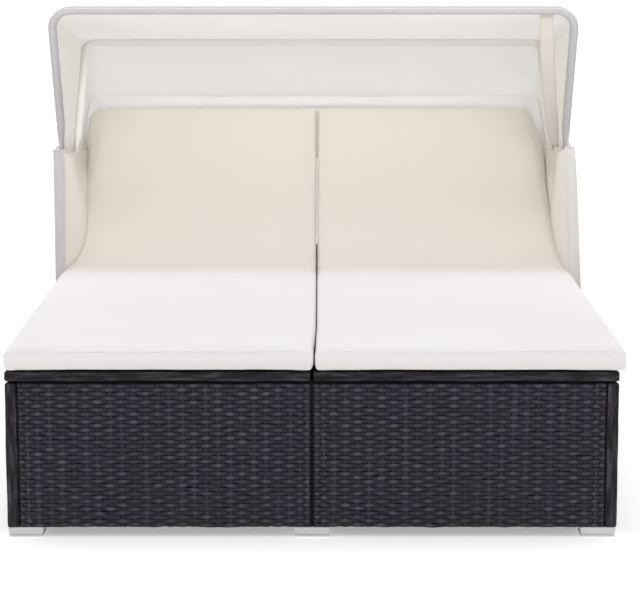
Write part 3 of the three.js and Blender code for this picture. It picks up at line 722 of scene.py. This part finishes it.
def cushion(name, x0, x1, u0, u1, side):
    """One long cushion. x0..x1 across, u0..u1 along the bent path, swollen by cloth simulation."""
    w = x1 - x0
    cx = (x0 + x1) / 2
    shrink = 0.004
    hx = w / 2 - shrink
    U0, U1 = u0 + shrink, u1 - shrink
    T0, T1 = 0.0, THICK - 0.0045
    bm = bmesh.new()
    bmesh.ops.create_cube(bm, size=1.0)
    for v in bm.verts:
        v.co = Vector((hx * (1 if v.co[0] > 0 else -1), U1 if v.co[1] > 0 else U0, T1 if v.co[2] > 0 else T0))
    low = [e for e in bm.edges if all(v.co[2] < T1 / 2 for v in e.verts)]
    bmesh.ops.bevel(bm, geom=[e for e in bm.edges if e not in low], offset=0.010, segments=3, affect="EDGES", profile=0.6)
    low = [e for e in bm.edges if all(v.co[2] < 1e-5 for v in e.verts) and e.calc_face_angle(0) > 1.0]
    bmesh.ops.bevel(bm, geom=low, offset=0.0040, segments=2, affect="EDGES", profile=0.6)
    step = 0.020
    for k in range(1, int((U1 - U0) / step)):
        geom = bm.verts[:] + bm.edges[:] + bm.faces[:]
        bmesh.ops.bisect_plane(bm, geom=geom, plane_co=(0, U0 + k * step, 0), plane_no=(0, 1, 0))
    for k in list(range(-6, 7)):
        geom = bm.verts[:] + bm.edges[:] + bm.faces[:]
        bmesh.ops.bisect_plane(bm, geom=geom, plane_co=(k * w / 15, 0, 0), plane_no=(1, 0, 0))
    for e_ in (0.012, 0.026):
        geom = bm.verts[:] + bm.edges[:] + bm.faces[:]
        bmesh.ops.bisect_plane(bm, geom=geom, plane_co=(side * (hx - e_), 0, 0), plane_no=(1, 0, 0))
    for v in bm.verts:
        x, u, t = v.co
        # the outer edge of the back half is worn rounder
        k = min(max((u - 0.03) / 0.15, 0), 1)
        q = min(max((side * x - (hx - 0.030)) / 0.030, 0), 1)
        if t > T1 * 0.5:
            t -= 0.009 * k * q * q
        y, z = on_path(u, t)
        v.co = Vector((cx + x, y, z))
    bmesh.ops.recalc_face_normals(bm, faces=bm.faces)
    me = bpy.data.meshes.new(name)
    bm.to_mesh(me)
    bm.free()
    ob = bpy.data.objects.new(name, me)
    scene.collection.objects.link(ob)
    m = ob.modifiers.new("r", "REMESH")
    m.mode = "VOXEL"
    m.voxel_size = 0.0080
    apply_modifiers(ob)
    start = np.array([v.co for v in ob.data.vertices])
    cl = ob.modifiers.new("c", "CLOTH")
    st = cl.settings
    st.quality = 4
    st.mass = 0.3
    st.tension_stiffness = 18
    st.compression_stiffness = 18
    st.shear_stiffness = 6
    st.bending_stiffness = 1.2
    st.use_pressure = True
    st.uniform_pressure_force = 4.0
    st.effector_weights.gravity = 0
    cl.collision_settings.use_self_collision = False
    for f in range(1, 17):
        scene.frame_set(f)
    apply_modifiers(ob)
    end = np.array([v.co for v in ob.data.vertices])
    scene.frame_set(1)
    d = end - start
    ln = np.linalg.norm(d, axis=1)
    cap = 0.0080
    d *= (cap * np.tanh(ln / cap) / np.maximum(ln, 1e-9))[:, None]
    end = start + d
    ob.data.vertices.foreach_set("co", end.ravel())
    sub = ob.modifiers.new("s", "SUBSURF")
    sub.levels = sub.render_levels = 1
    apply_modifiers(ob)
    # brought to its true length, width and thickness; the underside lies flat on the deck
    p = np.array([v.co for v in ob.data.vertices])
    u, t = path_coords(p)
    u = u0 + (u - u.min()) / (u.max() - u.min()) * (u1 - u0)
    base_t = np.percentile(t, 12)
    t = np.maximum((t - base_t) / (t.max() - base_t), 0.0) * CROWN
    step_u = np.linspace(u0, u1, 70)
    lo_x, hi_x = [], []
    for c_u in step_u:
        c_in = min(max(c_u, u0 + 0.040), u1 - 0.040)
        near = p[np.abs(u - c_in) < 0.020, 0]
        lo_x.append(near.min())
        hi_x.append(near.max())
    lo_x, hi_x = (np.convolve(np.pad(q, 2, mode="edge"), np.ones(5) / 5, "valid") for q in (lo_x, hi_x))
    lx, hx_ = np.interp(u, step_u, lo_x), np.interp(u, step_u, hi_x)
    p[:, 0] = x0 + np.clip((p[:, 0] - lx) / (hx_ - lx), 0, 1) * w
    # the front edge hangs just over the rim
    t -= 0.0026 * (1 - smooth01(u, u0 + 0.007, u0 + 0.020)) * (1 - smooth01(t, 0.0, 0.03))
    # worn, rounder corner at the outer top of the back
    R = 0.046 if side < 0 else 0.036
    a_ = np.clip(1 - (x1 - p[:, 0] if side > 0 else p[:, 0] - x0) / R, 0, 1)
    b_ = np.clip(1 - (u1 - u) / R, 0, 1)
    shift_a, shift_b = a_ * (1 - np.sqrt(1 - b_ * b_ / 2)), b_ * (1 - np.sqrt(1 - a_ * a_ / 2))
    p[:, 0] -= side * shift_a * R
    u = u - shift_b * R
    p[:, 1], p[:, 2] = on_path_many(u, t)
    ob.data.vertices.foreach_set("co", p.ravel())
    ob.data.update()
    ob.data.polygons.foreach_set("use_smooth", [True] * len(ob.data.polygons))
    ob.data.materials.clear()
    ob.data.materials.append(M_CUSHION)
    return ob

def seam(name, cush, x_in, x_out, u0, u1, level, side):
    """Sewn edge that follows the cushion's upper or lower rim, found on its surface."""
    dg = bpy.context.evaluated_depsgraph_get()
    bvh = BVHTree.FromObject(cush, dg)
    pts = []
    def at(x, u):
        y, z = on_path(u, level)
        p, nrm, _, _ = bvh.find_nearest(Vector((x, y, z)))
        pts.append(np.array(p) + np.array(nrm) * 0.0002)
    k = 130
    loop = [(x_in, u0, x_in, u1, k), (x_in, u1, x_out, u1, 40), (x_out, u1, x_out, u0, k), (x_out, u0, x_in, u0, 40)]
    for xa, ua, xb, ub, n_ in loop:
        for i in range(n_):
            t = i / n_
            u = ua + (ub - ua) * t
            x = xa + (xb - xa) * t
            y = on_path(u, level)[0]
            at(edge_x(side, x == x_out if xa == xb else None, x, y), u)
    p = np.array(pts)
    for _ in range(2):
        p = (np.roll(p, 1, 0) + 2 * p + np.roll(p, -1, 0)) / 4
    verts, m = [], 6
    tan = np.roll(p, -1, 0) - np.roll(p, 1, 0)
    tan /= np.linalg.norm(tan, axis=1)[:, None]
    for i, (q, t) in enumerate(zip(p, tan)):
        n1 = np.cross(t, [0, 0.2, 1.0]); n1 /= np.linalg.norm(n1)
        n2 = np.cross(t, n1)
        r = 0.0009
        for j in range(m):
            a = 2 * math.pi * j / m
            verts.append(q + n1 * r * math.cos(a) + n2 * r * math.sin(a))
    n_ = len(p)
    faces = []
    for i in range(n_):
        for j in range(m):
            a, b = i * m + j, i * m + (j + 1) % m
            c, d = ((i + 1) % n_) * m + (j + 1) % m, ((i + 1) % n_) * m + j
            faces.append((a, b, c, d))
    ob = mesh_object(name, verts, faces, M_SEAM)
    fix_normals(ob)
    return ob

# where the cushions' two long edges lie: (front, rest of the seat, back)
EDGES_X = {-1: (0.0033, 0.0081, -0.6520, -0.6350), 1: (0.0064, 0.0097, 0.6640, 0.6432)}

def outer_edge(c, d, side, y):
    e = c + (d - c) * smooth01(y, HINGE[0] - 0.07, HINGE[0] + 0.13)
    if side < 0:
        return e - 0.0110 * smooth01(y, 0.650, 0.735)
    # the right one is a little wider above the skirt, and slants in towards its top corner
    return e + 0.0066 * smooth01(y, 0.50, 0.63) - 0.0250 * np.clip((y - 0.665) / 0.185, 0, 1)

def edge_x(side, outer, x, y):
    a, b, c, d = EDGES_X[side]
    inner = a + (b - a) * float(smooth01(y, -1.05, -0.62))
    out = outer_edge(c, d, side, y)
    if outer is None:
        x0, x1 = EDGES_X[side][0], EDGES_X[side][2]
        k = (x - x0) / (x1 - x0)
        return inner + (out - inner) * k
    return out if outer else inner

# painted shade, as on the cushions: darker on the backrest part and downwards on the front face
M_SEAM = cloth_mat("cushion_seam", (0.86, 0.83, 0.82), (0.82, 0.79, 0.78), 0.0009, 0.9, 0.05, 0.2,
                   painted_shade=((0.69, 0.65, 0.585), 0.02, 0.22), hem=((0.72, 0.69, 0.645), RIM_TOP + 0.034, RIM_TOP + 0.004))

for side, s in (("left", -1), ("right", 1)):
    a, b, c, d = EDGES_X[s]
    x0, x1 = min(a, c), max(a, c)
    ob = cushion(f"cushion_{side}", x0, x1, -1.204, 0.776, s)
    me = ob.data
    co = np.array([v.co for v in me.vertices])
    inner = a + (b - a) * smooth01(co[:, 1], -1.05, -0.62)
    outer = outer_edge(c, d, s, co[:, 1])
    k = (co[:, 0] - a) / (c - a)
    co[:, 0] = inner + (outer - inner) * k
    # long shallow creases where the cushion is bent, and slight unevenness of the filling
    us, py, pz, pa = PATH
    ang = np.interp(co[:, 1], py, pa)
    low = np.interp(co[:, 1], py, pz)
    t = np.clip((co[:, 2] - low) / THICK, 0, 1)
    n_ = np.array([nz(x * 2.2, y * 1.6, 0.0, 3 + s) + 0.4 * nz(x * 6.0, y * 5.0, 1.0, 5 + s) for x, y, z in co])
    fold = np.exp(-((co[:, 1] - (HINGE[0] + 0.045)) / 0.045) ** 2)
    crease = -0.0045 * fold * (0.75 + 0.5 * np.array([nz(x * 5, 0.5, 2.0, s) for x, _, _ in co]))
    push = (0.0016 * n_ + crease) * np.clip((t - 0.5) * 2, 0, 1)
    co[:, 1] -= push * np.sin(ang)
    co[:, 2] += push * np.cos(ang)
    me.vertices.foreach_set("co", co.ravel())
    me.update()
    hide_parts(f"seat_cushion_{side}", f"back_cushion_{side}")
    sm = [seam(f"cushion_seam_{lvl}_{side}", ob, a, c, -1.204 + 0.002, 0.776 - 0.002, h, s)
          for lvl, h in (("upper", THICK - 0.003), ("lower", 0.004))]
    for piece in [ob] + sm:
        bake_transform(piece, "base", f"backrest_{side}", start=(0, HINGE[0] - 0.085, 0.40), end=(0, HINGE[0] + 0.085, 0.44))

# ------------------------------------------------------------------ canopy
def hoop(half, top, corner, low, n_leg=22, n_arc=10, n_top=72):
    """Points (x, r) along a bow from its low left end to its low right end."""
    left = []
    for i in range(n_leg):
        left.append((-half, low + (top - corner - low) * i / n_leg))
    for i in range(n_arc):
        a = math.pi - (math.pi / 2) * i / n_arc
        left.append((-half + corner + corner * math.cos(a), top - corner + corner * math.sin(a)))
    pts = left[:]
    for i in range(n_top + 1):
        pts.append((-half + corner + (2 * half - 2 * corner) * i / n_top, top))
    return np.array(pts + [(-x, r) for (x, r) in reversed(left)])

def polar(x, r, a):
    return (x, PIV[0] + r * math.cos(a), PIV[1] + r * math.sin(a))

def hood_sheet(name, a_from, a_to, c_from, c_to, rows, halves, top, low, sag, wrinkle, seed, mat):
    """Cloth over two bows, from one bow's angle to the other's. It hangs in a little between them."""
    mid, spread = (a_from + a_to) / 2, abs(a_from - a_to) / 2
    verts = []
    for i in range(rows + 1):
        t = i / rows
        a = a_from + (a_to - a_from) * t
        corner = c_from + (c_to - c_from) * t + 0.009
        half = halves[0] + (halves[1] - halves[0]) * t
        prof = hoop(half, top, corner, low)
        nrm = np.gradient(prof, axis=0)
        nrm = np.stack([-nrm[:, 1], nrm[:, 0]], 1)
        nrm /= np.linalg.norm(nrm, axis=1)[:, None]
        k = math.cos(spread) / math.cos(a - mid)
        bell = math.sin(math.pi * t)
        n = len(prof)
        for j in range(n):
            x, r = prof[j]
            roof = min(max((r / top - 0.80) / 0.2, 0), 1)
            side = 1 - roof
            sgn = -1 if x < 0 else 1
            sx = x / half
            slack = sag * bell * roof * (1 - 0.35 * sx * sx)
            wob = wrinkle * bell * (nz(x * 3.0, a * 2.2, r * 2, seed) + 0.5 * nz(x * 8.0, a * 5.0, r * 6, seed + 2))
            # pull folds that fan out of the upper corners
            near = math.exp(-((abs(abs(x) - half) + abs(top - r)) / 0.17) ** 2)
            fold = 0.0040 * near * math.sin(a * 40 + 5 * sx) * bell
            # soft folds in the side, which run out from the pivot
            full = 0.0036 + 0.0052 * min(r / 0.6, 1.0)
            sidefold = side * bell ** 0.6 * full * (0.5 + 0.5 * math.sin(a * 11.0 + 1.3 * math.sin(r * 7 + seed) + seed))
            # drawn in towards the pivot, where it goes down into the skirt
            waist = 0.0075 * (1 - min(max((r - low) / 0.14, 0), 1)) ** 1.5
            x2 = x + nrm[j, 0] * wob - sgn * (sidefold + waist) * side
            r2 = r * k + nrm[j, 1] * (wob + fold) - slack
            verts.append(polar(x2, r2, a))
    ob = mesh_object(name, verts, grid_faces(rows + 1, n), mat)
    so = ob.modifiers.new("t", "SOLIDIFY")
    so.thickness = 0.0011
    so.offset = 0
    apply_modifiers(ob)
    fix_normals(ob)
    ob.data.polygons.foreach_set("use_smooth", [True] * len(ob.data.polygons))
    return ob, float(np.sum(np.linalg.norm(np.diff(hoop(half, top, c_to + 0.009, low), axis=0), axis=1)))

def angular_blend(ob, a_body, b_body, a0, a1):
    """Weights follow the angle about the canopy's pivot, so the cloth closes like a fan."""
    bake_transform(ob, a_body, b_body, start=polar(0, BOW_R, a0), end=polar(0, BOW_R, a1))
    co = np.array([v.co for v in ob.data.vertices])
    ang = np.arctan2(co[:, 2] - PIV[1], co[:, 1] - PIV[0])
    w = np.clip((ang - a0) / (a1 - a0), 0, 1)
    ob.data.attributes["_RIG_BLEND"].data.foreach_set("value", w.astype(np.float32))

front_sheet, fw = hood_sheet("canopy_roof_and_sides", ANG["front"] + 0.010, ANG["mid"], CORNER["front"], CORNER["mid"], 34, (CENTRE["front"] + 0.0106, CENTRE["mid"] + 0.0106), BOW_R + 0.0105, 0.155, 0.014, 0.004, 1, M_CANOPY)
rear_sheet, rw = hood_sheet("canopy_rear_wall", ANG["mid"], ANG["rear"] - 0.010, CORNER["mid"], CORNER["rear"], 16, (CENTRE["mid"] + 0.0104, CENTRE["rear"] + 0.0100), BOW_R + 0.0095, 0.155, 0.005, 0.0045, 5, M_CANOPY)
for ob, wflat, nodes_, a, b, a0, a1 in (
        (front_sheet, fw, "canopy_front_section", "mid_bow_body", "front_bow_body", ANG["mid"], ANG["front"]),
        (rear_sheet, rw, "canopy_rear_section", "rear_bow_body", "mid_bow_body", ANG["rear"], ANG["mid"])):
    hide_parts(nodes_)
    angular_blend(ob, a, b, a0, a1)

def bow_line(which, low=0.30, out=0.0, swing=0.0, n_leg=26, n_arc=12, n_top=70):
    pr = hoop(CENTRE[which] + out, BOW_R + out, CORNER[which] + out, low, n_leg, n_arc, n_top)
    return [np.array(polar(x, r, ANG[which] + swing)) for x, r in pr], pr

def sleeve(name, which, radius, mat, low=0.236, wave=0.0, seed=0, right_wide=1.0, ruche=0.0, fold=0.0):
    """Hem sewn round a bow. It lies round the tube, and narrows to the flat arm below it."""
    pts, pr = bow_line(which, low)
    pts = np.array(pts)
    k = 16
    p, t, _, _ = frames_along(pts)
    ca, sa = math.cos(ANG[which]), math.sin(ANG[which])
    turn = np.array([0, -sa, ca])                      # the way the bow swings
    verts = []
    for i in range(len(p)):
        across = np.cross(t[i], turn)
        across /= np.linalg.norm(across)
        r_ = pr[i][1]
        x = p[i][0]
        leg = 1 - min(max((r_ - 0.255) / 0.05, 0), 1)  # 1 on the flat arm
        high = min(max((r_ - 0.330) / 0.06, 0), 1)
        wide = 1.0 + (right_wide - 1.0) * min(max((x - 0.60) / 0.05, 0), 1) * high
        wide += fold * math.exp(-((x - 0.555) / 0.055) ** 2) * (r_ > 0.6)
        # the arms are thinner than the tube across, and a little wider the other way
        ra = radius * (1 - leg) + 0.0037 * leg
        rb = (radius * (1 - leg) + 0.0140 * leg) * wide
        off_t = wave * nz(x * 4.5, r_ * 5, 1.0, seed)
        broad = 1 + (right_wide - 1) * 0.85 * min(max((x - 0.640) / 0.012, 0), 1) * high
        for j in range(k):
            a = 2 * math.pi * j / k
            rr = 1 + 0.05 * nz(i * 0.30, j * 0.8, seed, seed) + ruche * math.sin(i * 1.9 + j) * (1 - leg) * 0.5
            verts.append(p[i] + across * (ra * broad * rr * math.cos(a)) - np.array([ra * (broad - 1) * 0.45, 0, 0]) + turn * (rb * rr * math.sin(a) + off_t))
    L = len(p)
    faces = grid_faces(L, k, wrap_v=True)
    faces.append(tuple(range(k)))
    faces.append(tuple((L - 1) * k + q for q in range(k))[::-1])
    ob = mesh_object(name, verts, faces, mat)
    fix_normals(ob)
    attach(ob, which + "_bow_body")
    return ob

sleeve("front_bow_sleeve", "front", 0.0104, M_TRIM, seed=2)
sleeve("mid_bow_sleeve", "mid", 0.0100, M_SLEEVE, wave=0.0012, seed=3, right_wide=1.45, ruche=0.03, fold=0.45)
sleeve("rear_bow_sleeve", "rear", 0.0098, M_REAR_SLEEVE, seed=4)

def rear_facing():
    stations = ((0.034, 0.0052), (0.028, 0.0024), (0.021, -0.0018), (0.014, -0.0062), (0.007, -0.0100), (-0.002, -0.0124), (-0.011, -0.0122), (-0.020, -0.0096))
    verts, n = [], 0
    for d_a, off in stations:
        pr = hoop(CENTRE["rear"] + off, BOW_R + off, CORNER["rear"] + off, 0.31, 26, 12, 90)
        n = len(pr)
        verts += [polar(x, r - 0.0004 * nz(x * 9, d_a * 30, 0.0, 21), ANG["rear"] + d_a) for x, r in pr]
    ob = mesh_object("canopy_rear_hem_facing", verts, grid_faces(len(stations), n), M_FACING)
    so = ob.modifiers.new("t", "SOLIDIFY")
    so.thickness = 0.0010
    so.offset = 0
    su = ob.modifiers.new("s", "SUBSURF")
    su.levels = su.render_levels = 1
    apply_modifiers(ob)
    fix_normals(ob)
    ob.data.polygons.foreach_set("use_smooth", [True] * len(ob.data.polygons))
    angular_blend(ob, "rear_bow_body", "mid_bow_body", ANG["rear"], ANG["mid"])

rear_facing()

# stitched edge just inside the front hem
def stitch_line(name, which, r_in, swing, mat, r_cord=0.0007):
    pts, pr = bow_line(which, 0.34, out=-r_in, swing=swing)
    ob = sweep(name, pts, lambda i, t: circle(r_cord, 6), mat)
    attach(ob, which + "_bow_body")

stitch_line("front_hem_stitching", "front", -0.0096, -0.030, M_THREAD)
stitch_line("mid_hem_stitching", "mid", -0.0092, 0.030, M_THREAD)

# the cloth beyond the rear bow: a short curtain that hangs from its hem behind the backrests
def rear_curtain():
    top_y = PIV[0] + BOW_R * math.cos(ANG["rear"])
    top_z = PIV[1] + BOW_R * math.sin(ANG["rear"])
    rows, cols, drop = 14, 150, 0.165
    verts = []
    for i in range(rows + 1):
        t = i / rows
        for j in range(cols + 1):
            x = -0.655 + 1.31 * j / cols
            side = max(0.0, (abs(x) - 0.60) / 0.055)
            w = (0.0045 * math.sin(x * 34 + 1.2 * math.sin(x * 9)) + 0.002 * nz(x * 12, t, 0.0, 9)) * t
            z = top_z + 0.002 - drop * t * (1 + 0.04 * math.sin(x * 7))
            z -= 0.012 * side * side * (1 - t)
            verts.append((x, top_y + 0.0035 * (1 - t) - 0.004 * t + w * 0.8, z))
    ob = mesh_object("canopy_rear_curtain", verts, grid_faces(rows + 1, cols + 1), M_CANOPY)
    so = ob.modifiers.new("t", "SOLIDIFY")
    so.thickness = 0.0011
    so.offset = 0
    apply_modifiers(ob)
    fix_normals(ob)
    ob.data.polygons.foreach_set("use_smooth", [True] * len(ob.data.polygons))
    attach(ob, "rear_bow_body")
    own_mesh(ob)
    return ob

rear_curtain()

# inner strap at the right, from the front hem down to the side cloth above the skirt's mouth
def strap():
    S = np.array(polar(0.5945, BOW_R - 0.0115, math.radians(118.0)))
    E = np.array([0.6500, 0.4000, 0.7080])
    from_pts = []
    for i in range(60):
        t = i / 59
        q = S + (E - S) * t
        q = q + np.array([-0.004, -0.003, -0.007]) * math.sin(math.pi * t)      # hangs in a little
        from_pts.append(q)
    verts = []
    for i, q in enumerate(from_pts):
        t = i / 59
        wide = 0.0165 + 0.0034 * math.sin(math.pi * t) - 0.0022 * float(smooth01(t, 0.80, 1.0))
        tilt = math.radians(8 + 16 * t)
        d = np.array([math.cos(tilt), 0.0, -math.sin(tilt)])
        up = np.array([-math.sin(tilt), 0.0, -math.cos(tilt)])
        for j in range(9):
            v = (j / 8 - 0.5) * 2
            cup = 0.0016 * math.cos(v * 1.5)
            # gathered where it is sewn on at its lower end
            pull = 0.0016 * math.sin(v * 9.0) * float(smooth01(t, 0.86, 1.0))
            lower = np.array([0.0, 0.0, -0.0035]) * (1 - v * v) * float(smooth01(t, 0.93, 1.0))
            verts.append(q + d * (wide * v * (1 + 0.05 * math.sin(t * 9))) + up * (cup + pull + 0.001 * nz(t * 6, v, 0, 12)) + lower)
    ob = mesh_object("canopy_inner_strap", verts, grid_faces(60, 9), M_STRAP)
    so = ob.modifiers.new("t", "SOLIDIFY")
    so.thickness = 0.0013
    so.offset = 0
    apply_modifiers(ob)
    fix_normals(ob)
    ob.data.polygons.foreach_set("use_smooth", [True] * len(ob.data.polygons))
    angular_blend(ob, "mid_bow_body", "front_bow_body", ANG["mid"], ANG["front"])

strap()

# ------------------------------------------------------------------ lower skirts
# how far out the inner wall touches the cushion, by Y
LEAN = {-1: ([0.10, 0.135, 0.17, 0.22, 0.30, 0.43, 0.53, 0.66], [0.660, 0.638, 0.624, 0.614, 0.607, 0.616, 0.626, 0.6395]),
        1: None}
MOUTH = ([0.10, 0.18, 0.30, 0.63, 0.70], [0.7230, 0.7010, 0.6930, 0.6680, 0.6630])

TOP_LINE = None
def cushion_height(y):
    global TOP_LINE
    if TOP_LINE is None:
        us = np.arange(-0.3, 0.77, 0.004)
        q = np.array([on_path(u, THICK + 0.0035) for u in us])
        order = np.argsort(q[:, 0])
        TOP_LINE = (q[order, 0], q[order, 1])
    return float(np.interp(y, *TOP_LINE))

def skirt(side, s):
    xi, xo = (0.6408 if s < 0 else 0.6478), 0.6812
    y0, y1 = 0.130 + SHIFT, 0.690 + SHIFT
    r = (xo - xi) / 2
    plan = []
    n1 = 60
    for i in range(n1):
        plan.append((0.0, y1 + (y0 + r - y1) * i / n1, None))
    for i in range(13):
        plan.append((i / 12, y0 + r, math.pi + math.pi * i / 12))
    for i in range(1, n1 + 1):
        plan.append((1.0, y0 + r + (y1 - y0 - r) * i / n1, None))
    rows = 44
    flare = 0.0185 if s > 0 else 0.0
    verts, follow = [], []
    for i in range(rows + 1):
        t = i / rows
        for j, (w, y, arc) in enumerate(plan):
            top = float(np.interp(y, *MOUTH)) + (0.0 if s < 0 else 0.008) + 0.0022 * math.sin((y - y0) * 33)
            top += 0.016 * w * float(smooth01(y, 0.14, 0.30)) * (1 - 0.5 * float(smooth01(y, 0.45, 0.66)))
            rest = min(cushion_height(y) - 0.0005, 0.655)
            hem_in = rest if s < 0 else rest - 0.030
            hem_in = min(hem_in, top - 0.05)
            hem_out = 0.302 + 0.004 * math.sin(y * 16)
            ww = w * w * (3 - 2 * w)
            low = hem_in + (hem_out - hem_in) * ww
            z = low + (top - low) * t
            # inner wall: stands at xi above, and leans on the cushion's edge below
            if s < 0:
                c = float(np.interp(y, *LEAN[s]))
            else:
                c = float(outer_edge(EDGES_X[1][2], EDGES_X[1][3], 1, y)) + 0.0001
            rest = min(rest, top - 0.05)
            q = 1 - min(max((z - rest) / max(top - rest, 1e-3), 0), 1)
            if z < hem_in:
                q = 1.0
            inner = xi + 0.0040 * max(0.0, (z - 0.66) / 0.06) ** 1.2 * (z > 0.66)
            if s > 0:
                inner = max(inner, min(c, 0.6530) - 0.0006) if y > 0.45 else inner
                c = min(c, 0.6690)
            inner = inner + (c - inner) * q ** 1.25
            outer = xo + flare * (1 - t) ** 0.6 - (0.0105 if s < 0 else 0.0110 * t) * (1 - float(smooth01(y, 0.095, 0.26)))
            half_w = max((outer - inner) / 2, 0.004)
            cx = (inner + outer) / 2
            f = 0.0026 * nz(y * 7, z * 1.6, s * 3.0, 4) + 0.0016 * math.sin(y * 31 + z * 3 + s) * (1 - 0.5 * t)
            f += 0.0015 * math.sin(y * 74 + 2.0 * math.sin(z * 8)) * t ** 3
            # the outside is gathered a little at the mouth and hangs in soft upright folds
            fo = 1.15 * f + 0.0021 * math.sin(y * 39 + 1.1 * s + 0.8 * math.sin(z * 5)) * (0.30 + 0.70 * t * t) * float(smooth01(y, 0.14, 0.24))
            fo = max(min(fo, 0.0048), -0.0042)
            f = max(min(f, 0.0030), -0.0030) if s < 0 else max(min(f * 0.35, 0.0005), -0.0014)
            if arc is None:
                x = (inner - f) if w == 0.0 else (outer + fo)
                yy = y
            else:
                x = cx + half_w * math.cos(arc)
                yy = y + min(r, half_w * 1.2) * math.sin(arc) + 0.0012 * math.sin(z * 40) * math.sin(arc)
            verts.append((s * x, yy, z))
            follow.append((1 - ww) * q * q * (3 - 2 * q))
    n = len(plan)
    M_SKIRT = M_SKIRT_LEFT if s < 0 else M_SKIRT_RIGHT
    ob = mesh_object(f"lower_skirt_cloth_{side}", verts, grid_faces(rows + 1, n), M_SKIRT)
    so = ob.modifiers.new("t", "SOLIDIFY")
    so.thickness = 0.0011
    so.offset = 0
    apply_modifiers(ob)
    fix_normals(ob)
    ob.data.polygons.foreach_set("use_smooth", [True] * len(ob.data.polygons))
    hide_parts(f"lower_skirt_{side}")
    grid = np.array(verts)
    follow = np.array(follow)
    def hold(piece):
        """Each point takes the share of the skirt's nearest point: 1 on the backrest cushion, 0 on the rest.
        The right skirt hangs free beside the cushion's edge and stays on the base."""
        if s > 0:
            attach(piece, "base")
            return
        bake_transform(piece, "base", f"backrest_{side}", start=(0, HINGE[0], 0.72), end=(0, HINGE[0], 0.45))
        at = piece.data.attributes["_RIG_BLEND"]
        near = KDTree(len(grid))
        for k_, g in enumerate(grid):
            near.insert(g, k_)
        near.balance()
        at.data.foreach_set("value", np.array([follow[near.find(v.co)[1]] for v in piece.data.vertices], np.float32))
    hold(ob)
    # rolled hem along the upper and lower edges
    for level, rr in ((0, 0.0013), (rows, 0.0017)):
        line = [np.array(verts[level * n + j]) for j in range(n)]
        hem = sweep(f"lower_skirt_hem_{'upper' if level else 'lower'}_{side}", line, lambda i, t: circle(rr * (1 + 0.2 * math.sin(i * 1.7)), 8), M_SKIRT)
        if level:
            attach(hem, "base")
        else:
            hold(hem)

for side, s in (("left", -1), ("right", 1)):
    skirt(side, s)

# ------------------------------------------------------------------ stage and light
def cyclorama():
    """White studio floor that curves up into a wall far behind."""
    prof = [(-70, 0.0), (12.0, 0.0)]
    for i in range(1, 13):
        a = math.radians(90 * i / 12)
        prof.append((12.0 + 5.0 * math.sin(a), 5.0 - 5.0 * math.cos(a)))
    prof.append((17.0, 22.0))
    verts = []
    for (y, z) in prof:
        verts += [(-80, y, z - 0.0005), (80, y, z - 0.0005)]
    return mesh_object("studio_floor", verts, grid_faces(len(prof), 2, flip=True))

fl = cyclorama()
m, nt, bsdf = new_mat("studio_white")
paper = noise_tex(nt, coords(nt), 3.0, 2, 0.5)
nt.links.new(ramp(nt, paper, [(0.3, (0.90, 0.90, 0.90)), (0.7, (0.92, 0.92, 0.92))]), bsdf.inputs["Base Color"])
bsdf.inputs["Roughness"].default_value = 0.9
bsdf.inputs["Emission Color"].default_value = (1, 1, 1, 1)
bsdf.inputs["Emission Strength"].default_value = FLOOR_GLOW
fl.data.materials.append(m)

world = bpy.data.worlds.new("world")
scene.world = world
world.use_nodes = True
world.node_tree.nodes["Background"].inputs[0].default_value = (1, 1, 1, 1)
world.node_tree.nodes["Background"].inputs[1].default_value = SKY

def area_light(name, loc, target, size, power, color=(1, 1, 1), spread=180):
    d = bpy.data.lights.new(name, "AREA")
    d.shape = "RECTANGLE"
    d.size, d.size_y = size
    d.energy = power
    d.color = color
    d.spread = math.radians(spread)
    o = bpy.data.objects.new(name, d)
    scene.collection.objects.link(o)
    o.location = loc
    o.rotation_euler = (Vector(target) - Vector(loc)).to_track_quat("-Z", "Y").to_euler()
    return o

area_light("top", (0, -0.4, 4.6), (0, -0.2, 0.4), (4.5, 4.0), TOP_POWER)
area_light("front_grid", (0, -1.95, 1.62), (0, 0.75, 1.07), (2.6, 0.4), GRID_POWER, (1, 0.99, 0.975), spread=56)
scene.view_settings.view_transform = "Standard"
scene.view_settings.look = "None"
